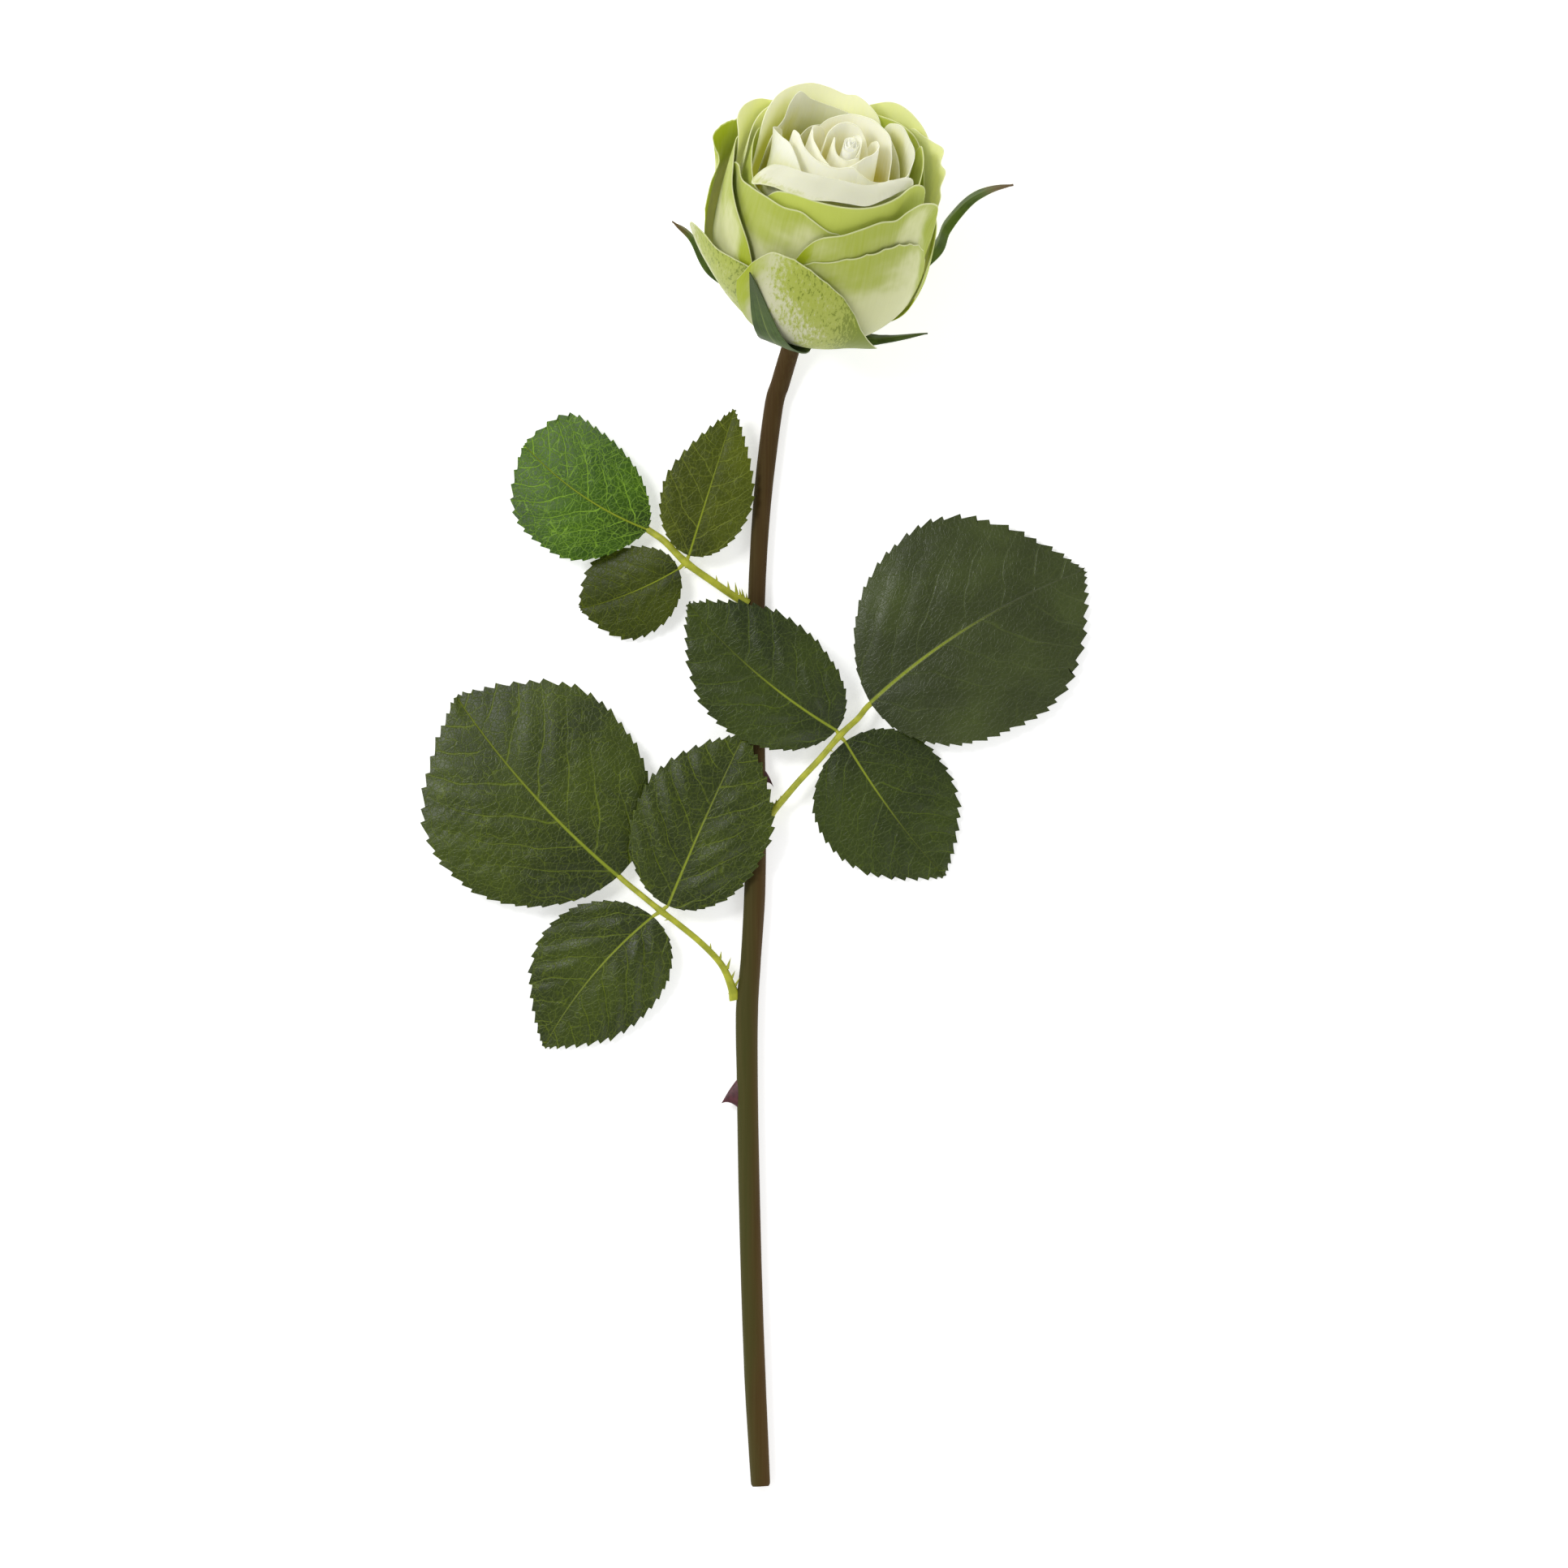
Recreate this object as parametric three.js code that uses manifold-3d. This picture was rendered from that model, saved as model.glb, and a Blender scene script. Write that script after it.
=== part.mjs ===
// A long-stemmed cut rose, lying on a flat surface (z = 0). Millimetres, +Z up.
//
// The stem runs along +Y with its cut end at -Y. Its neck curls up and carries a half-open
// bloom. Three compound leaves, each a petiole with three leaflets, lean on the surface to
// the left and right. The origin is the centre of the whole plan, on the surface.

import * as THREE from 'three';
import { mergeVertices } from 'three/addons/utils/BufferGeometryUtils.js';
import Module from 'manifold-3d';

const wasm = await Module();
wasm.setup();

// ---------------------------------------------------------------- driving dimensions

const gap = 0.3;                       // clearance between pieces that touch

// Bloom frame: z along the flower's axis, +y towards the surface, -y up at the viewer.
const bloomBase = [15.8, 169.0, 19.1]; // where the petals leave the receptacle
const bloomElevation = 40;             // degrees the axis rises from the surface
const bloomTurn = 16.5;                // degrees the axis turns from +Y towards +X

const petalThickness = 0.35;
const claw = { radius: 8.3, radiusStep: 6.5, height: 1, heightStep: 16 };
const belly = { radius: 41.5, radiusStep: 37, height: 36, heightStep: 12 };
const mouth = { height: 80, tuck: 3, tuckStep: 1.5, drift: 3.5 };
const bellyRows = 5;                   // rows of facets from claw to belly
const rimRows = 2;                     // rows of facets from belly to rim
const clawWidth = 0.42;                // claw width as a share of the full width

// Whorls from the outside in. A whorl lies on a few nested cups, and each cup holds petals
// that stay clear of each other. A cup's depth is 0 on the outside of the bloom and 1 at its
// heart. Each petal: [angle about the axis, half spread, rim height].
const whorls = [
  { name: 'guard_petal', colour: 0xb4c06a, depth: 0, depthStep: 0.035, cups: [
    [[276, 42, 56], [151, 43, 67], [23, 39, 50]],
    [[223, 35, 41], [92, 42, 51]]] },
  { name: 'outer_petal', colour: 0xbdc883, depth: 0.07, depthStep: 0.035, cups: [
    [[305, 49, 63], [193, 47, 68], [56, 44, 78]],
    [[306, 50, 78], [119, 47, 72]],
    [[240, 50, 72], [152, 34, 79], [20, 44, 76]]] },
  { name: 'middle_petal', colour: 0xc3cf7c, depth: 0.18, depthStep: 0.055, cups: [
    [[286, 63, 79], [150, 46, 75]],
    [[200, 47, 72], [62, 48, 75]],
    [[120, 58, 83], [350, 46, 78]]] },
  { name: 'inner_petal', colour: 0xe3e7c8, depth: 0.36, depthStep: 0.065, cups: [
    [[279, 73, 84], [125, 58, 82]],
    [[361, 69, 81], [202, 51, 82]],
    [[77, 73, 78]]] },
];
// The core's first petal wraps half of it. The others follow each other in a spiral, and each
// of them has a cup of its own.
const core = { name: 'core_petal', colour: 0xeeefdc, depth: 0.56, depthStep: 0.073, count: 7,
  first: [267, 95, 84], start: 285, step: 137.5, spread: 74, spreadStep: 5, rim: 80, rimStep: 0.4 };
const rimDrop = 0.5;                   // how far a rim falls towards its two ends
const heartRadius = 2.7;
const heartHeight = 80.5;

const receptacle = { length: 9, neckRadius: 3.4, hipRadius: 8 };

// Sepals: angle at the foot, degrees the tip leans from it, full width, and the midline as
// [distance from the axis, height] pairs.
const sepalThickness = 0.6;
const sepals = [
  { angle: 264, lean: -28, width: 23, midline: [[8.8, 0], [25.7, 4.2], [38.8, 17.4], [43.2, 42]] },
  { angle: 178, lean: 1, width: 8.5, midline: [[8.8, 0], [23, 1.5], [35.5, 7], [44.5, 18], [54.5, 22.5]] },
  { angle: 32, lean: -12, width: 9.5, midline: [[8.8, 0], [28, 4.5], [45, 24.5], [47, 38], [52, 51],
    [58, 59.1], [66, 65.6]] },
  { angle: 335, lean: 5, width: 12, midline: [[8.8, 0], [24, 3.2], [34, 9.3], [48.5, 20.9]] },
  { angle: 102, lean: 0, width: 13, midline: [[8.8, 0], [25.7, 4.2], [38.2, 16.6], [43.8, 33]] },
];

// Stem stations from the cut end to the foot of the neck: [x, y, radius].
const stemStations = [
  [1.4, -250.4, 3.5], [0.4, -232, 3.7], [-0.6, -212, 3.85], [-1.9, -177, 3.85], [-2.8, -143, 3.85],
  [-3.4, -108, 3.8], [-3.6, -81, 4.05], [-2.2, -62, 3.65], [-0.8, -38, 3.85], [-0.4, -9, 3.7],
  [-0.6, 14, 3.55], [-0.6, 40, 3.3], [-0.1, 66, 3.1], [0.7, 84, 3.15], [1.9, 101, 3.25], [3.6, 117, 3.35],
];
const stemSides = 10;
const stemLift = 0.1;                  // the curve dips this much between stations

// Petioles: [x, y, z] from inside the stem to the foot of the end leaflet.
const petioles = {
  lower_left: [[-4.6, -79, 4], [-8.2, -72.5, 5], [-12.6, -64, 7], [-19.6, -56.4, 8.4], [-28.3, -49.2, 8.6],
    [-34.9, -44.2, 8.2], [-41.3, -39, 7.4], [-48.4, -33.2, 6.4]],
  right: [[0.6, -14.5, 4], [4.8, -10, 4.8], [9.4, -4.8, 6.2], [15.2, 1.9, 7.4], [22.5, 9.7, 8], [30, 18.4, 8],
    [36, 24, 7.4], [39.6, 28.4, 6.6]],
  upper_left: [[0.4, 62.6, 3.6], [-4, 65.3, 4.6], [-8, 67.7, 5.8], [-15.2, 72.6, 7.2], [-25.4, 79.9, 7.8],
    [-32.6, 87.1, 7], [-37.6, 90.8, 6.4]],
};
const petioleRadius = 1.05;
const stipuleRadius = 1.9;             // where the petiole meets the stem
const stipuleLength = 0.13;            // as a share of the petiole

// Leaflets: foot and tip [x, y, z], full width, where the widest place is, how much further on
// it is on the right side than in the middle, how far the midrib bows to its left seen from
// above, its arch, how far the two edges fall, and how blunt the tip is.
const leafThickness = 0.7;
const footShape = [2.1, 0.52];         // powers of the round outline at a leaflet's foot
const leaflets = {
  lower_left_end: { foot: [-49.6, -32.3, 6.2], tip: [-107.4, 31.8, 0.6], width: 80, widest: 0.5, skew: 0,
    bow: 3, arch: 4, fall: 1.6, blunt: 2.4 },
  lower_left_inner: { foot: [-31.8, -42.8, 8.9], tip: [-4.6, 18.4, 9.4], width: 48.5, widest: 0.48, skew: 0,
    bow: 0.5, arch: 1.6, fall: 0.8, blunt: 2.1 },
  lower_left_outer: { foot: [-37.2, -46.6, 7.6], tip: [-76.1, -93.2, 0.6], width: 46, widest: 0.43, skew: 0,
    bow: -3, arch: 1.2, fall: 1.8, blunt: 2.2 },
  right_end: { foot: [40.6, 29.8, 6.4], tip: [117, 77, 0.6], width: 79, widest: 0.52, skew: 0,
    bow: 4.5, arch: 4.2, fall: 2.6, blunt: 2.2 },
  right_inner: { foot: [28.4, 19.9, 8.8], tip: [-24.5, 65, 13.4], width: 44.5, widest: 0.46, skew: 0,
    bow: 3, arch: 1.4, fall: 1, blunt: 2.2 },
  right_outer: { foot: [31.5, 15.9, 7.6], tip: [66.8, -32.3, 0.6], width: 50, widest: 0.42, skew: 0,
    bow: -1.5, arch: 1.1, fall: 2.4, blunt: 2.3 },
  upper_left_end: { foot: [-39, 91.6, 6.2], tip: [-83.1, 121.9, 0.6], width: 44.5, widest: 0.5, skew: 0.09,
    bow: 3.2, arch: 3.6, fall: 0.4, blunt: 4.4 },
  upper_left_inner: { foot: [-24.3, 82.4, 8.6], tip: [-8.1, 134.4, 8.4], width: 32.5, widest: 0.43, skew: 0,
    bow: 0, arch: 2, fall: 0.6, blunt: 1.45 },
  upper_left_outer: { foot: [-28, 77.6, 6.8], tip: [-63.1, 63.4, 0.6], width: 32, widest: 0.54, skew: 0,
    bow: 1.5, arch: 0.8, fall: 1.4, blunt: 2.6 },
};

// Thorns: foot inside the stem, tip, length of the foot along the stem and its thickness.
const thorns = [
  { foot: [-5.6, -109.8, 4.4], tip: [-12.6, -113.4, 4.6], along: 11, thick: 2.8 },
  { foot: [1.6, 3.4, 4.4], tip: [6, -0.4, 4.8], along: 5.4, thick: 2 },
];

const colours = { stem: 0x4e4524, leaf: 0x4a5a20, petiole: 0x95a03a, sepal: 0x4c6a24, thorn: 0x51302e,
  receptacle: 0x4c6a24, heart: 0xe6e6c6 };

// ---------------------------------------------------------------- helpers

const vec = (x, y, z) => new THREE.Vector3(x, y, z);
const rad = THREE.MathUtils.degToRad;
const clamp = THREE.MathUtils.clamp;
const smooth = (points) => new THREE.CatmullRomCurve3(points.map((p) => vec(...p)));

// Moves every vertex of a closed shape to where place(x, y, z) sends it.
function bend(geometry, place) {
  const position = geometry.attributes.position;
  for (let i = 0; i < position.count; i++) {
    const to = place(position.getX(i), position.getY(i), position.getZ(i));
    position.setXYZ(i, to.x, to.y, to.z);
  }
  return geometry;
}

// A thin closed sheet along surface(u, v), with u from -1 to 1 across and v from 0 to 1 along.
function sheet(surface, across, along, thickness) {
  const h = 1e-3;
  const slab = new THREE.BoxGeometry(2, 1, 1, across, along, 1);
  return bend(slab, (u, y, z) => {
    const v = y + 0.5;
    const du = surface(Math.min(u + h, 1), v).sub(surface(Math.max(u - h, -1), v));
    const dv = surface(u, Math.min(v + h, 1)).sub(surface(u, Math.max(v - h, 0)));
    return surface(u, v).addScaledVector(du.cross(dv).normalize(), z * thickness);
  });
}

// A closed round rod along a curve, with radius(t) for t from 0 to 1.
function rod(curve, radius, sides, steps) {
  return bend(new THREE.CylinderGeometry(1, 1, 1, sides, steps), (x, y, z) => {
    const t = y + 0.5;
    const along = curve.getTangent(t);
    const side = along.clone().cross(vec(0, 0, 1)).normalize();
    const top = side.clone().cross(along);
    return curve.getPoint(t).addScaledVector(side, x * radius(t)).addScaledVector(top, z * radius(t));
  });
}

// A turned solid about z from [radius, height] pairs that start and end on the axis.
function turned(profile, segments) {
  const points = profile.map(([r, z]) => new THREE.Vector2(r, z));
  return new THREE.LatheGeometry(points, segments).rotateX(Math.PI / 2);
}

function toSolid(geometry) {
  const plain = geometry.clone();
  plain.deleteAttribute('normal');
  plain.deleteAttribute('uv');
  const merged = mergeVertices(plain);
  return new wasm.Manifold(new wasm.Mesh({
    numProp: 3,
    vertProperties: new Float32Array(merged.attributes.position.array),
    triVerts: new Uint32Array(merged.index.array),
  }));
}

// The first closed shape with the second one cut away.
function cut(body, tool) {
  const mesh = toSolid(body).subtract(toSolid(tool)).getMesh();
  const result = new THREE.BufferGeometry();
  result.setAttribute('position', new THREE.BufferAttribute(mesh.vertProperties, 3));
  result.setIndex(new THREE.BufferAttribute(mesh.triVerts, 1));
  return result;
}

function piece(name, geometry, colour, roughness) {
  const material = new THREE.MeshStandardMaterial({ color: colour, roughness, metalness: 0 });
  const mesh = new THREE.Mesh(geometry, material);
  mesh.name = name;
  return mesh;
}

// ---------------------------------------------------------------- bloom frame

const group = new THREE.Group();
const bloom = new THREE.Group();
const axis = vec(
  Math.sin(rad(bloomTurn)) * Math.cos(rad(bloomElevation)),
  Math.cos(rad(bloomTurn)) * Math.cos(rad(bloomElevation)),
  Math.sin(rad(bloomElevation)),
);
const right = vec(Math.cos(rad(bloomTurn)), -Math.sin(rad(bloomTurn)), 0);
const frame = new THREE.Matrix4().makeBasis(right, axis.clone().cross(right), axis);
bloom.quaternion.setFromRotationMatrix(frame);
bloom.position.set(...bloomBase);
group.add(bloom);

// ---------------------------------------------------------------- petals

// A point on the nested cups. depth is 0 on the outermost cup and 1 on the innermost. reach
// runs from 0 at the claw through 1 at the belly to 2 at the mouth. angle is in degrees.
function cupPoint(depth, reach, angle) {
  const clawRadius = claw.radius - claw.radiusStep * depth;
  const clawHeight = claw.height + claw.heightStep * depth;
  const bellyRadius = belly.radius - belly.radiusStep * depth;
  const bellyHeight = belly.height + belly.heightStep * depth;
  const lower = Math.min(reach, 1) * Math.PI / 2;
  const upper = Math.max(reach - 1, 0);
  const r = clawRadius + (bellyRadius - clawRadius) * Math.sin(lower)
    - (mouth.tuck - mouth.tuckStep * depth) * upper ** 2;
  const z = clawHeight + (bellyHeight - clawHeight) * (1 - Math.cos(lower))
    + (mouth.height - bellyHeight) * upper;
  const drift = mouth.drift * (1 - depth) * (z / mouth.height) ** 2;
  return vec(r * Math.cos(rad(angle)) - drift, r * Math.sin(rad(angle)), z);
}

function petal(depth, [angle, spread, rim]) {
  const bellyHeight = belly.height + belly.heightStep * depth;
  const rise = (rim - bellyHeight) / (mouth.height - bellyHeight);
  const bellyRow = bellyRows / (bellyRows + rimRows);
  const surface = (u, v) => {
    const lower = Math.min(v / bellyRow, 1);
    const upper = Math.max(v - bellyRow, 0) / (1 - bellyRow);
    const reach = lower + rise * upper * (1 - rimDrop * Math.abs(u) ** 3);
    const width = clawWidth + (1 - clawWidth) * Math.sin(lower * Math.PI / 2);
    return cupPoint(depth, reach, angle + spread * width * u);
  };
  const across = Math.round(spread / (depth < 0.6 ? 8.5 : 12));
  return sheet(surface, across, bellyRows + rimRows, petalThickness);
}

const coreCups = Array.from({ length: core.count }, (_, i) => [i === 0 ? core.first
  : [core.start + core.step * i, core.spread + core.spreadStep * i, core.rim + core.rimStep * i]]);

for (const { name, colour, depth, depthStep, cups } of [...whorls, { ...core, cups: coreCups }]) {
  let number = 1;
  cups.forEach((cup, layer) => {
    for (const shape of cup) {
      bloom.add(piece(`${name}_${number}`, petal(depth + depthStep * layer, shape), colour, 0.6));
      number += 1;
    }
  });
}

// The tight bud at the middle of the bloom, standing on the tip of the receptacle.
const heartFoot = claw.height + claw.heightStep + 1;
bloom.add(piece('heart', turned([
  [0, heartFoot], [1, heartFoot], [heartRadius * 0.7, heartFoot + 12], [heartRadius, heartFoot + 30],
  [heartRadius * 0.8, heartHeight - 4], [heartRadius * 0.5, heartHeight - 1], [0, heartHeight]], 10),
colours.heart, 0.6));

// ---------------------------------------------------------------- receptacle and sepals

const dome = [];
for (let step = 0; step <= 4; step++) {
  const depth = step / 4;
  dome.push([claw.radius - claw.radiusStep * depth - 1.5 * gap, claw.height + claw.heightStep * depth]);
}
bloom.add(piece('receptacle', turned([
  [0, -receptacle.length], [receptacle.neckRadius, -receptacle.length],
  [receptacle.neckRadius + 0.8, 3 - receptacle.length], [receptacle.hipRadius - 0.6, -2.4],
  [receptacle.hipRadius, -1], ...dome, [0, claw.height + claw.heightStep + 0.5]], 20),
colours.receptacle, 0.6));

sepals.forEach(({ angle, lean, width, midline }, i) => {
  const curve = smooth(midline.map(([r, z]) => [r, 0, z]));
  const surface = (u, v) => {
    const middle = curve.getPoint(v);
    const half = Math.max(width * 0.31 * (1 - v) ** 0.8 * (1 + 1.6 * v), 0.4);
    const at = rad(angle + lean * v * v) + half * u / middle.x;
    const shift = mouth.drift * (middle.z / mouth.height) ** 2;
    return vec(middle.x * Math.cos(at) - shift, middle.x * Math.sin(at), middle.z);
  };
  bloom.add(piece(`sepal_${i + 1}`, sheet(surface, 4, 8, sepalThickness), colours.sepal, 0.6));
});

// ---------------------------------------------------------------- stem

// The neck is an arc from the lying stem up to the receptacle's foot.
const neckTop = vec(...bloomBase).addScaledVector(axis, -(receptacle.length + gap));
const [, , footRadius] = stemStations.at(-1);
const neckBend = (neckTop.z - footRadius - stemLift) / (1 - Math.cos(rad(bloomElevation)));
const heading = vec(Math.sin(rad(bloomTurn)), Math.cos(rad(bloomTurn)), 0);
const neck = [0, 0.25, 0.5, 0.75, 1].map((share) => {
  const tilt = rad(bloomElevation) * share;
  const run = neckBend * (Math.sin(rad(bloomElevation)) - Math.sin(tilt));
  const drop = neckBend * (Math.cos(tilt) - Math.cos(rad(bloomElevation)));
  return neckTop.clone().addScaledVector(heading, -run).sub(vec(0, 0, drop));
});
const stemCurve = new THREE.CatmullRomCurve3(
  [...stemStations.map(([x, y, r]) => vec(x, y, r + stemLift)), ...neck]);
const stemRadii = [...stemStations.map(([, , r]) => r), ...neck.map(() => receptacle.neckRadius)];

function stemRadius(t) {
  const place = clamp(t, 0, 1) * (stemRadii.length - 1);
  const low = Math.min(Math.floor(place), stemRadii.length - 2);
  return THREE.MathUtils.lerp(stemRadii[low], stemRadii[low + 1], place - low);
}

const stemSteps = 2 * (stemRadii.length - 1);
const stem = rod(stemCurve, stemRadius, stemSides, stemSteps);
const stemRoom = rod(stemCurve, (t) => stemRadius(t) + gap, stemSides, stemSteps);
group.add(piece('stem', stem, colours.stem, 0.5));

// ---------------------------------------------------------------- leaves

for (const [name, points] of Object.entries(petioles)) {
  const radius = (t) => petioleRadius * (1.05 - 0.2 * t)
    + (stipuleRadius - petioleRadius) * Math.exp(-((t / stipuleLength) ** 2));
  const shape = rod(smooth(points), radius, 8, 14);
  group.add(piece(`${name}_petiole`, cut(shape, stemRoom), colours.petiole, 0.55));
}

function leaflet({ foot, tip, width, widest, skew, bow, arch, fall, blunt }) {
  const start = vec(...foot);
  const run = vec(...tip).sub(start);
  const left = vec(-run.y, run.x, 0).normalize();
  const surface = (u, share) => {
    const v = (1 - Math.cos(Math.PI * share)) / 2;
    const belly = widest + skew * Math.sign(u);
    const before = clamp((belly - v) / belly, 0, 1);
    const after = clamp((v - belly) / (1 - belly), 0, 1);
    const full = (1 - before ** footShape[0]) ** footShape[1] * (1 - after ** blunt);
    const half = Math.max(width / 2 * full, 0.6 - 0.2 * v);
    const hump = 4 * v * (1 - v);
    const height = arch * hump - fall * (2 * half * u / width) ** 2;
    return start.clone().addScaledVector(run, v).addScaledVector(left, bow * hump - half * u)
      .add(vec(0, 0, height));
  };
  return sheet(surface, 6, 10, leafThickness);
}

for (const [name, shape] of Object.entries(leaflets)) {
  group.add(piece(`${name}_leaflet`, leaflet(shape), colours.leaf, 0.45));
}

// ---------------------------------------------------------------- thorns

thorns.forEach(({ foot, tip, along, thick }, i) => {
  const start = vec(...foot);
  const run = vec(...tip).sub(start);
  const shape = bend(new THREE.ConeGeometry(1, 1, 10, 4), (x, y, z) => {
    const t = y + 0.5;
    const centre = start.clone().addScaledVector(vec(run.x, 0, run.z), t);
    centre.y += run.y * t ** 2;
    const turn = Math.sign(run.x);
    return centre.add(vec(0, -turn * x * along / 2, z * thick / 2));
  });
  group.add(piece(`thorn_${i + 1}`, cut(shape, stemRoom), colours.thorn, 0.4));
});

export default group;
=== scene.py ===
# %% [markdown]
# # A long-stemmed rose, lying on a table
#
# A rose is a stack of thin, springy blades. Its petals, sepals and leaflets keep the curve
# they grew or were moulded with, and its stem, petioles and thorns are tapered rods. So two
# helpers do most of the modelling here: one bends a flat grid into a curved blade, and one
# bends a grid into a closed rod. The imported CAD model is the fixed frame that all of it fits.

# %% Load the frame
import math
import random

import bpy
import numpy as np
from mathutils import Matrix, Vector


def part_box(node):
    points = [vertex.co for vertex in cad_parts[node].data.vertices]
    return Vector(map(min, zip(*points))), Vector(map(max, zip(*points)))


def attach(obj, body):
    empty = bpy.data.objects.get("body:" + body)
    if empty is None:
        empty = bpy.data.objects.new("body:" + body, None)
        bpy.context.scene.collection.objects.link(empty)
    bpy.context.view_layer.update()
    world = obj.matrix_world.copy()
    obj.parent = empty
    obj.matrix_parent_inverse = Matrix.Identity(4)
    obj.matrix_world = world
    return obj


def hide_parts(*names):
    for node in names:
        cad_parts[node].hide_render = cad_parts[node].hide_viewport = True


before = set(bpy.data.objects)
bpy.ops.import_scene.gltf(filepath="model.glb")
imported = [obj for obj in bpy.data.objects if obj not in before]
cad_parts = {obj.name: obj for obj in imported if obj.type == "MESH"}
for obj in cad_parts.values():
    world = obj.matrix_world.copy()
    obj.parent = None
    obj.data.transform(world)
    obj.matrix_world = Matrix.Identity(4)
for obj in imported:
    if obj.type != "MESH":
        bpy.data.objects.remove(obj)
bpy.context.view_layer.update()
MM = 0.001

# %% [markdown]
# ## Bending grids
#
# A petal could be pushed out of a grid by hand, one proportional edit at a time. There are
# over thirty of them and they must nest without touching, so here the grid is added with an
# operator and its vertices are then moved by a formula. u runs across the grid from -1 to 1
# and v along it from 0 to 1. The grid's own UV map goes along, so materials can follow the
# blade. All the shaping is in millimetres, and they become metres as the vertices are set.

# %% A bent grid
def rad(degrees):
    return math.radians(degrees)


def step(value, low, high):
    """0 below low, 1 above high, and smooth between."""
    t = np.clip((value - low) / (high - low), 0, 1)
    return t * t * (3 - 2 * t)


def bent_grid(name, across, along, place):
    """Adds a grid and moves its vertices to place(u, v), which gives millimetres."""
    bpy.ops.object.select_all(action="DESELECT")
    bpy.ops.mesh.primitive_grid_add(x_subdivisions=across, y_subdivisions=along, size=2)
    piece = bpy.context.object
    piece.name = name
    flat = np.empty(len(piece.data.vertices) * 3)
    piece.data.vertices.foreach_get("co", flat)
    flat = flat.reshape(-1, 3)
    points = place(flat[:, 0], (flat[:, 1] + 1) / 2)
    piece.data.vertices.foreach_set("co", (np.asarray(points) * MM).ravel())
    piece.data.update()
    return piece


def apply(piece, kind, **settings):
    """Adds a modifier with these settings and applies it."""
    modifier = piece.modifiers.new(kind.title(), kind)
    for key, value in settings.items():
        setattr(modifier, key, value)
    bpy.context.view_layer.objects.active = piece
    bpy.ops.object.modifier_apply(modifier=modifier.name)


# %% [markdown]
# A blade is a bent grid with a Solidify modifier, which gives it an even wall and closes its
# rim. A rod is a bent grid whose two long edges meet: they are merged, and each open end is
# closed with a fan of triangles, because a many-sided end face can fold when it is exported.

# %% Blades and rods
BLADE_CREASE, ROD_CREASE = rad(60), rad(50)
AXIS_SAMPLES = 201
ROD_MERGE, THORN_MERGE = 0.01, 0.005


def blade(name, across, along, place, thickness):
    """A closed thin blade."""
    piece = bent_grid(name, across, along, place)
    thicken(piece, thickness)
    return piece


def thicken(piece, thickness):
    apply(piece, "SOLIDIFY", thickness=thickness * MM, offset=0, use_quality_normals=True)
    bpy.ops.object.shade_smooth_by_angle(angle=BLADE_CREASE)


def seal(threshold):
    """Merges the new piece's seam, closes its ends with fans and points its faces outwards."""
    bpy.ops.object.mode_set(mode="EDIT")
    bpy.ops.mesh.select_all(action="SELECT")
    bpy.ops.mesh.remove_doubles(threshold=threshold * MM)
    bpy.ops.mesh.select_all(action="SELECT")
    bpy.ops.mesh.fill_holes(sides=0)
    bpy.ops.mesh.select_all(action="DESELECT")
    bpy.ops.mesh.select_face_by_sides(number=4, type="GREATER")
    bpy.ops.mesh.poke()
    bpy.ops.mesh.select_all(action="SELECT")
    bpy.ops.mesh.normals_make_consistent(inside=False)
    bpy.ops.object.mode_set(mode="OBJECT")


def rod(name, sides, rings, centre, radius):
    """A closed rod: centre(v) gives its axis and radius(v, turn) its section."""
    v_line = np.linspace(0, 1, AXIS_SAMPLES)
    slope = np.gradient(centre(v_line), axis=0)
    slope /= np.linalg.norm(slope, axis=1)[:, None]

    def place(u, v):
        turn = u * math.pi
        along = np.stack([np.interp(v, v_line, slope[:, i]) for i in range(3)], axis=1)
        side = np.cross(along, [0, 0, 1])
        side /= np.linalg.norm(side, axis=1)[:, None]
        top = np.cross(side, along)
        wide, high = radius(v, turn)
        out = side * (wide * np.sin(turn))[:, None] + top * (high * np.cos(turn))[:, None]
        return centre(v) + out

    piece = bent_grid(name, sides, rings, place)
    seal(ROD_MERGE)
    bpy.ops.object.shade_smooth_by_angle(angle=ROD_CREASE)
    return piece


# %% [markdown]
# Rims and midribs are drawn as a few points with a smooth curve through them, which is a
# Catmull-Rom spline. It is worked out here once, so that a curve can also shape a petal's rim,
# where no Blender curve object could go.

# %% Smooth lines, joining and finishing
ROUTE_SAMPLES = 241


def route(points):
    """A smooth curve through these points, as a function of v from 0 to 1."""
    points = np.array(points, float)
    fine = np.linspace(0, 1, ROUTE_SAMPLES)
    padded = np.vstack([2 * points[0] - points[1], points, 2 * points[-1] - points[-2]])
    place = fine * (len(points) - 1)
    low = np.minimum(place.astype(int), len(points) - 2)
    t = (place - low)[:, None]
    p0, p1, p2, p3 = (padded[low + i] for i in range(4))
    line = 0.5 * (2 * p1 + (p2 - p0) * t + (2 * p0 - 5 * p1 + 4 * p2 - p3) * t ** 2
                  + (3 * p1 - p0 - 3 * p2 + p3) * t ** 3)
    return lambda v: np.stack([np.interp(v, fine, line[:, i]) for i in range(3)], axis=1)


def join(pieces):
    """Joins some pieces into the first one."""
    bpy.ops.object.select_all(action="DESELECT")
    for piece in pieces:
        piece.select_set(True)
    bpy.context.view_layer.objects.active = pieces[0]
    bpy.ops.object.join()
    return pieces[0]


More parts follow.
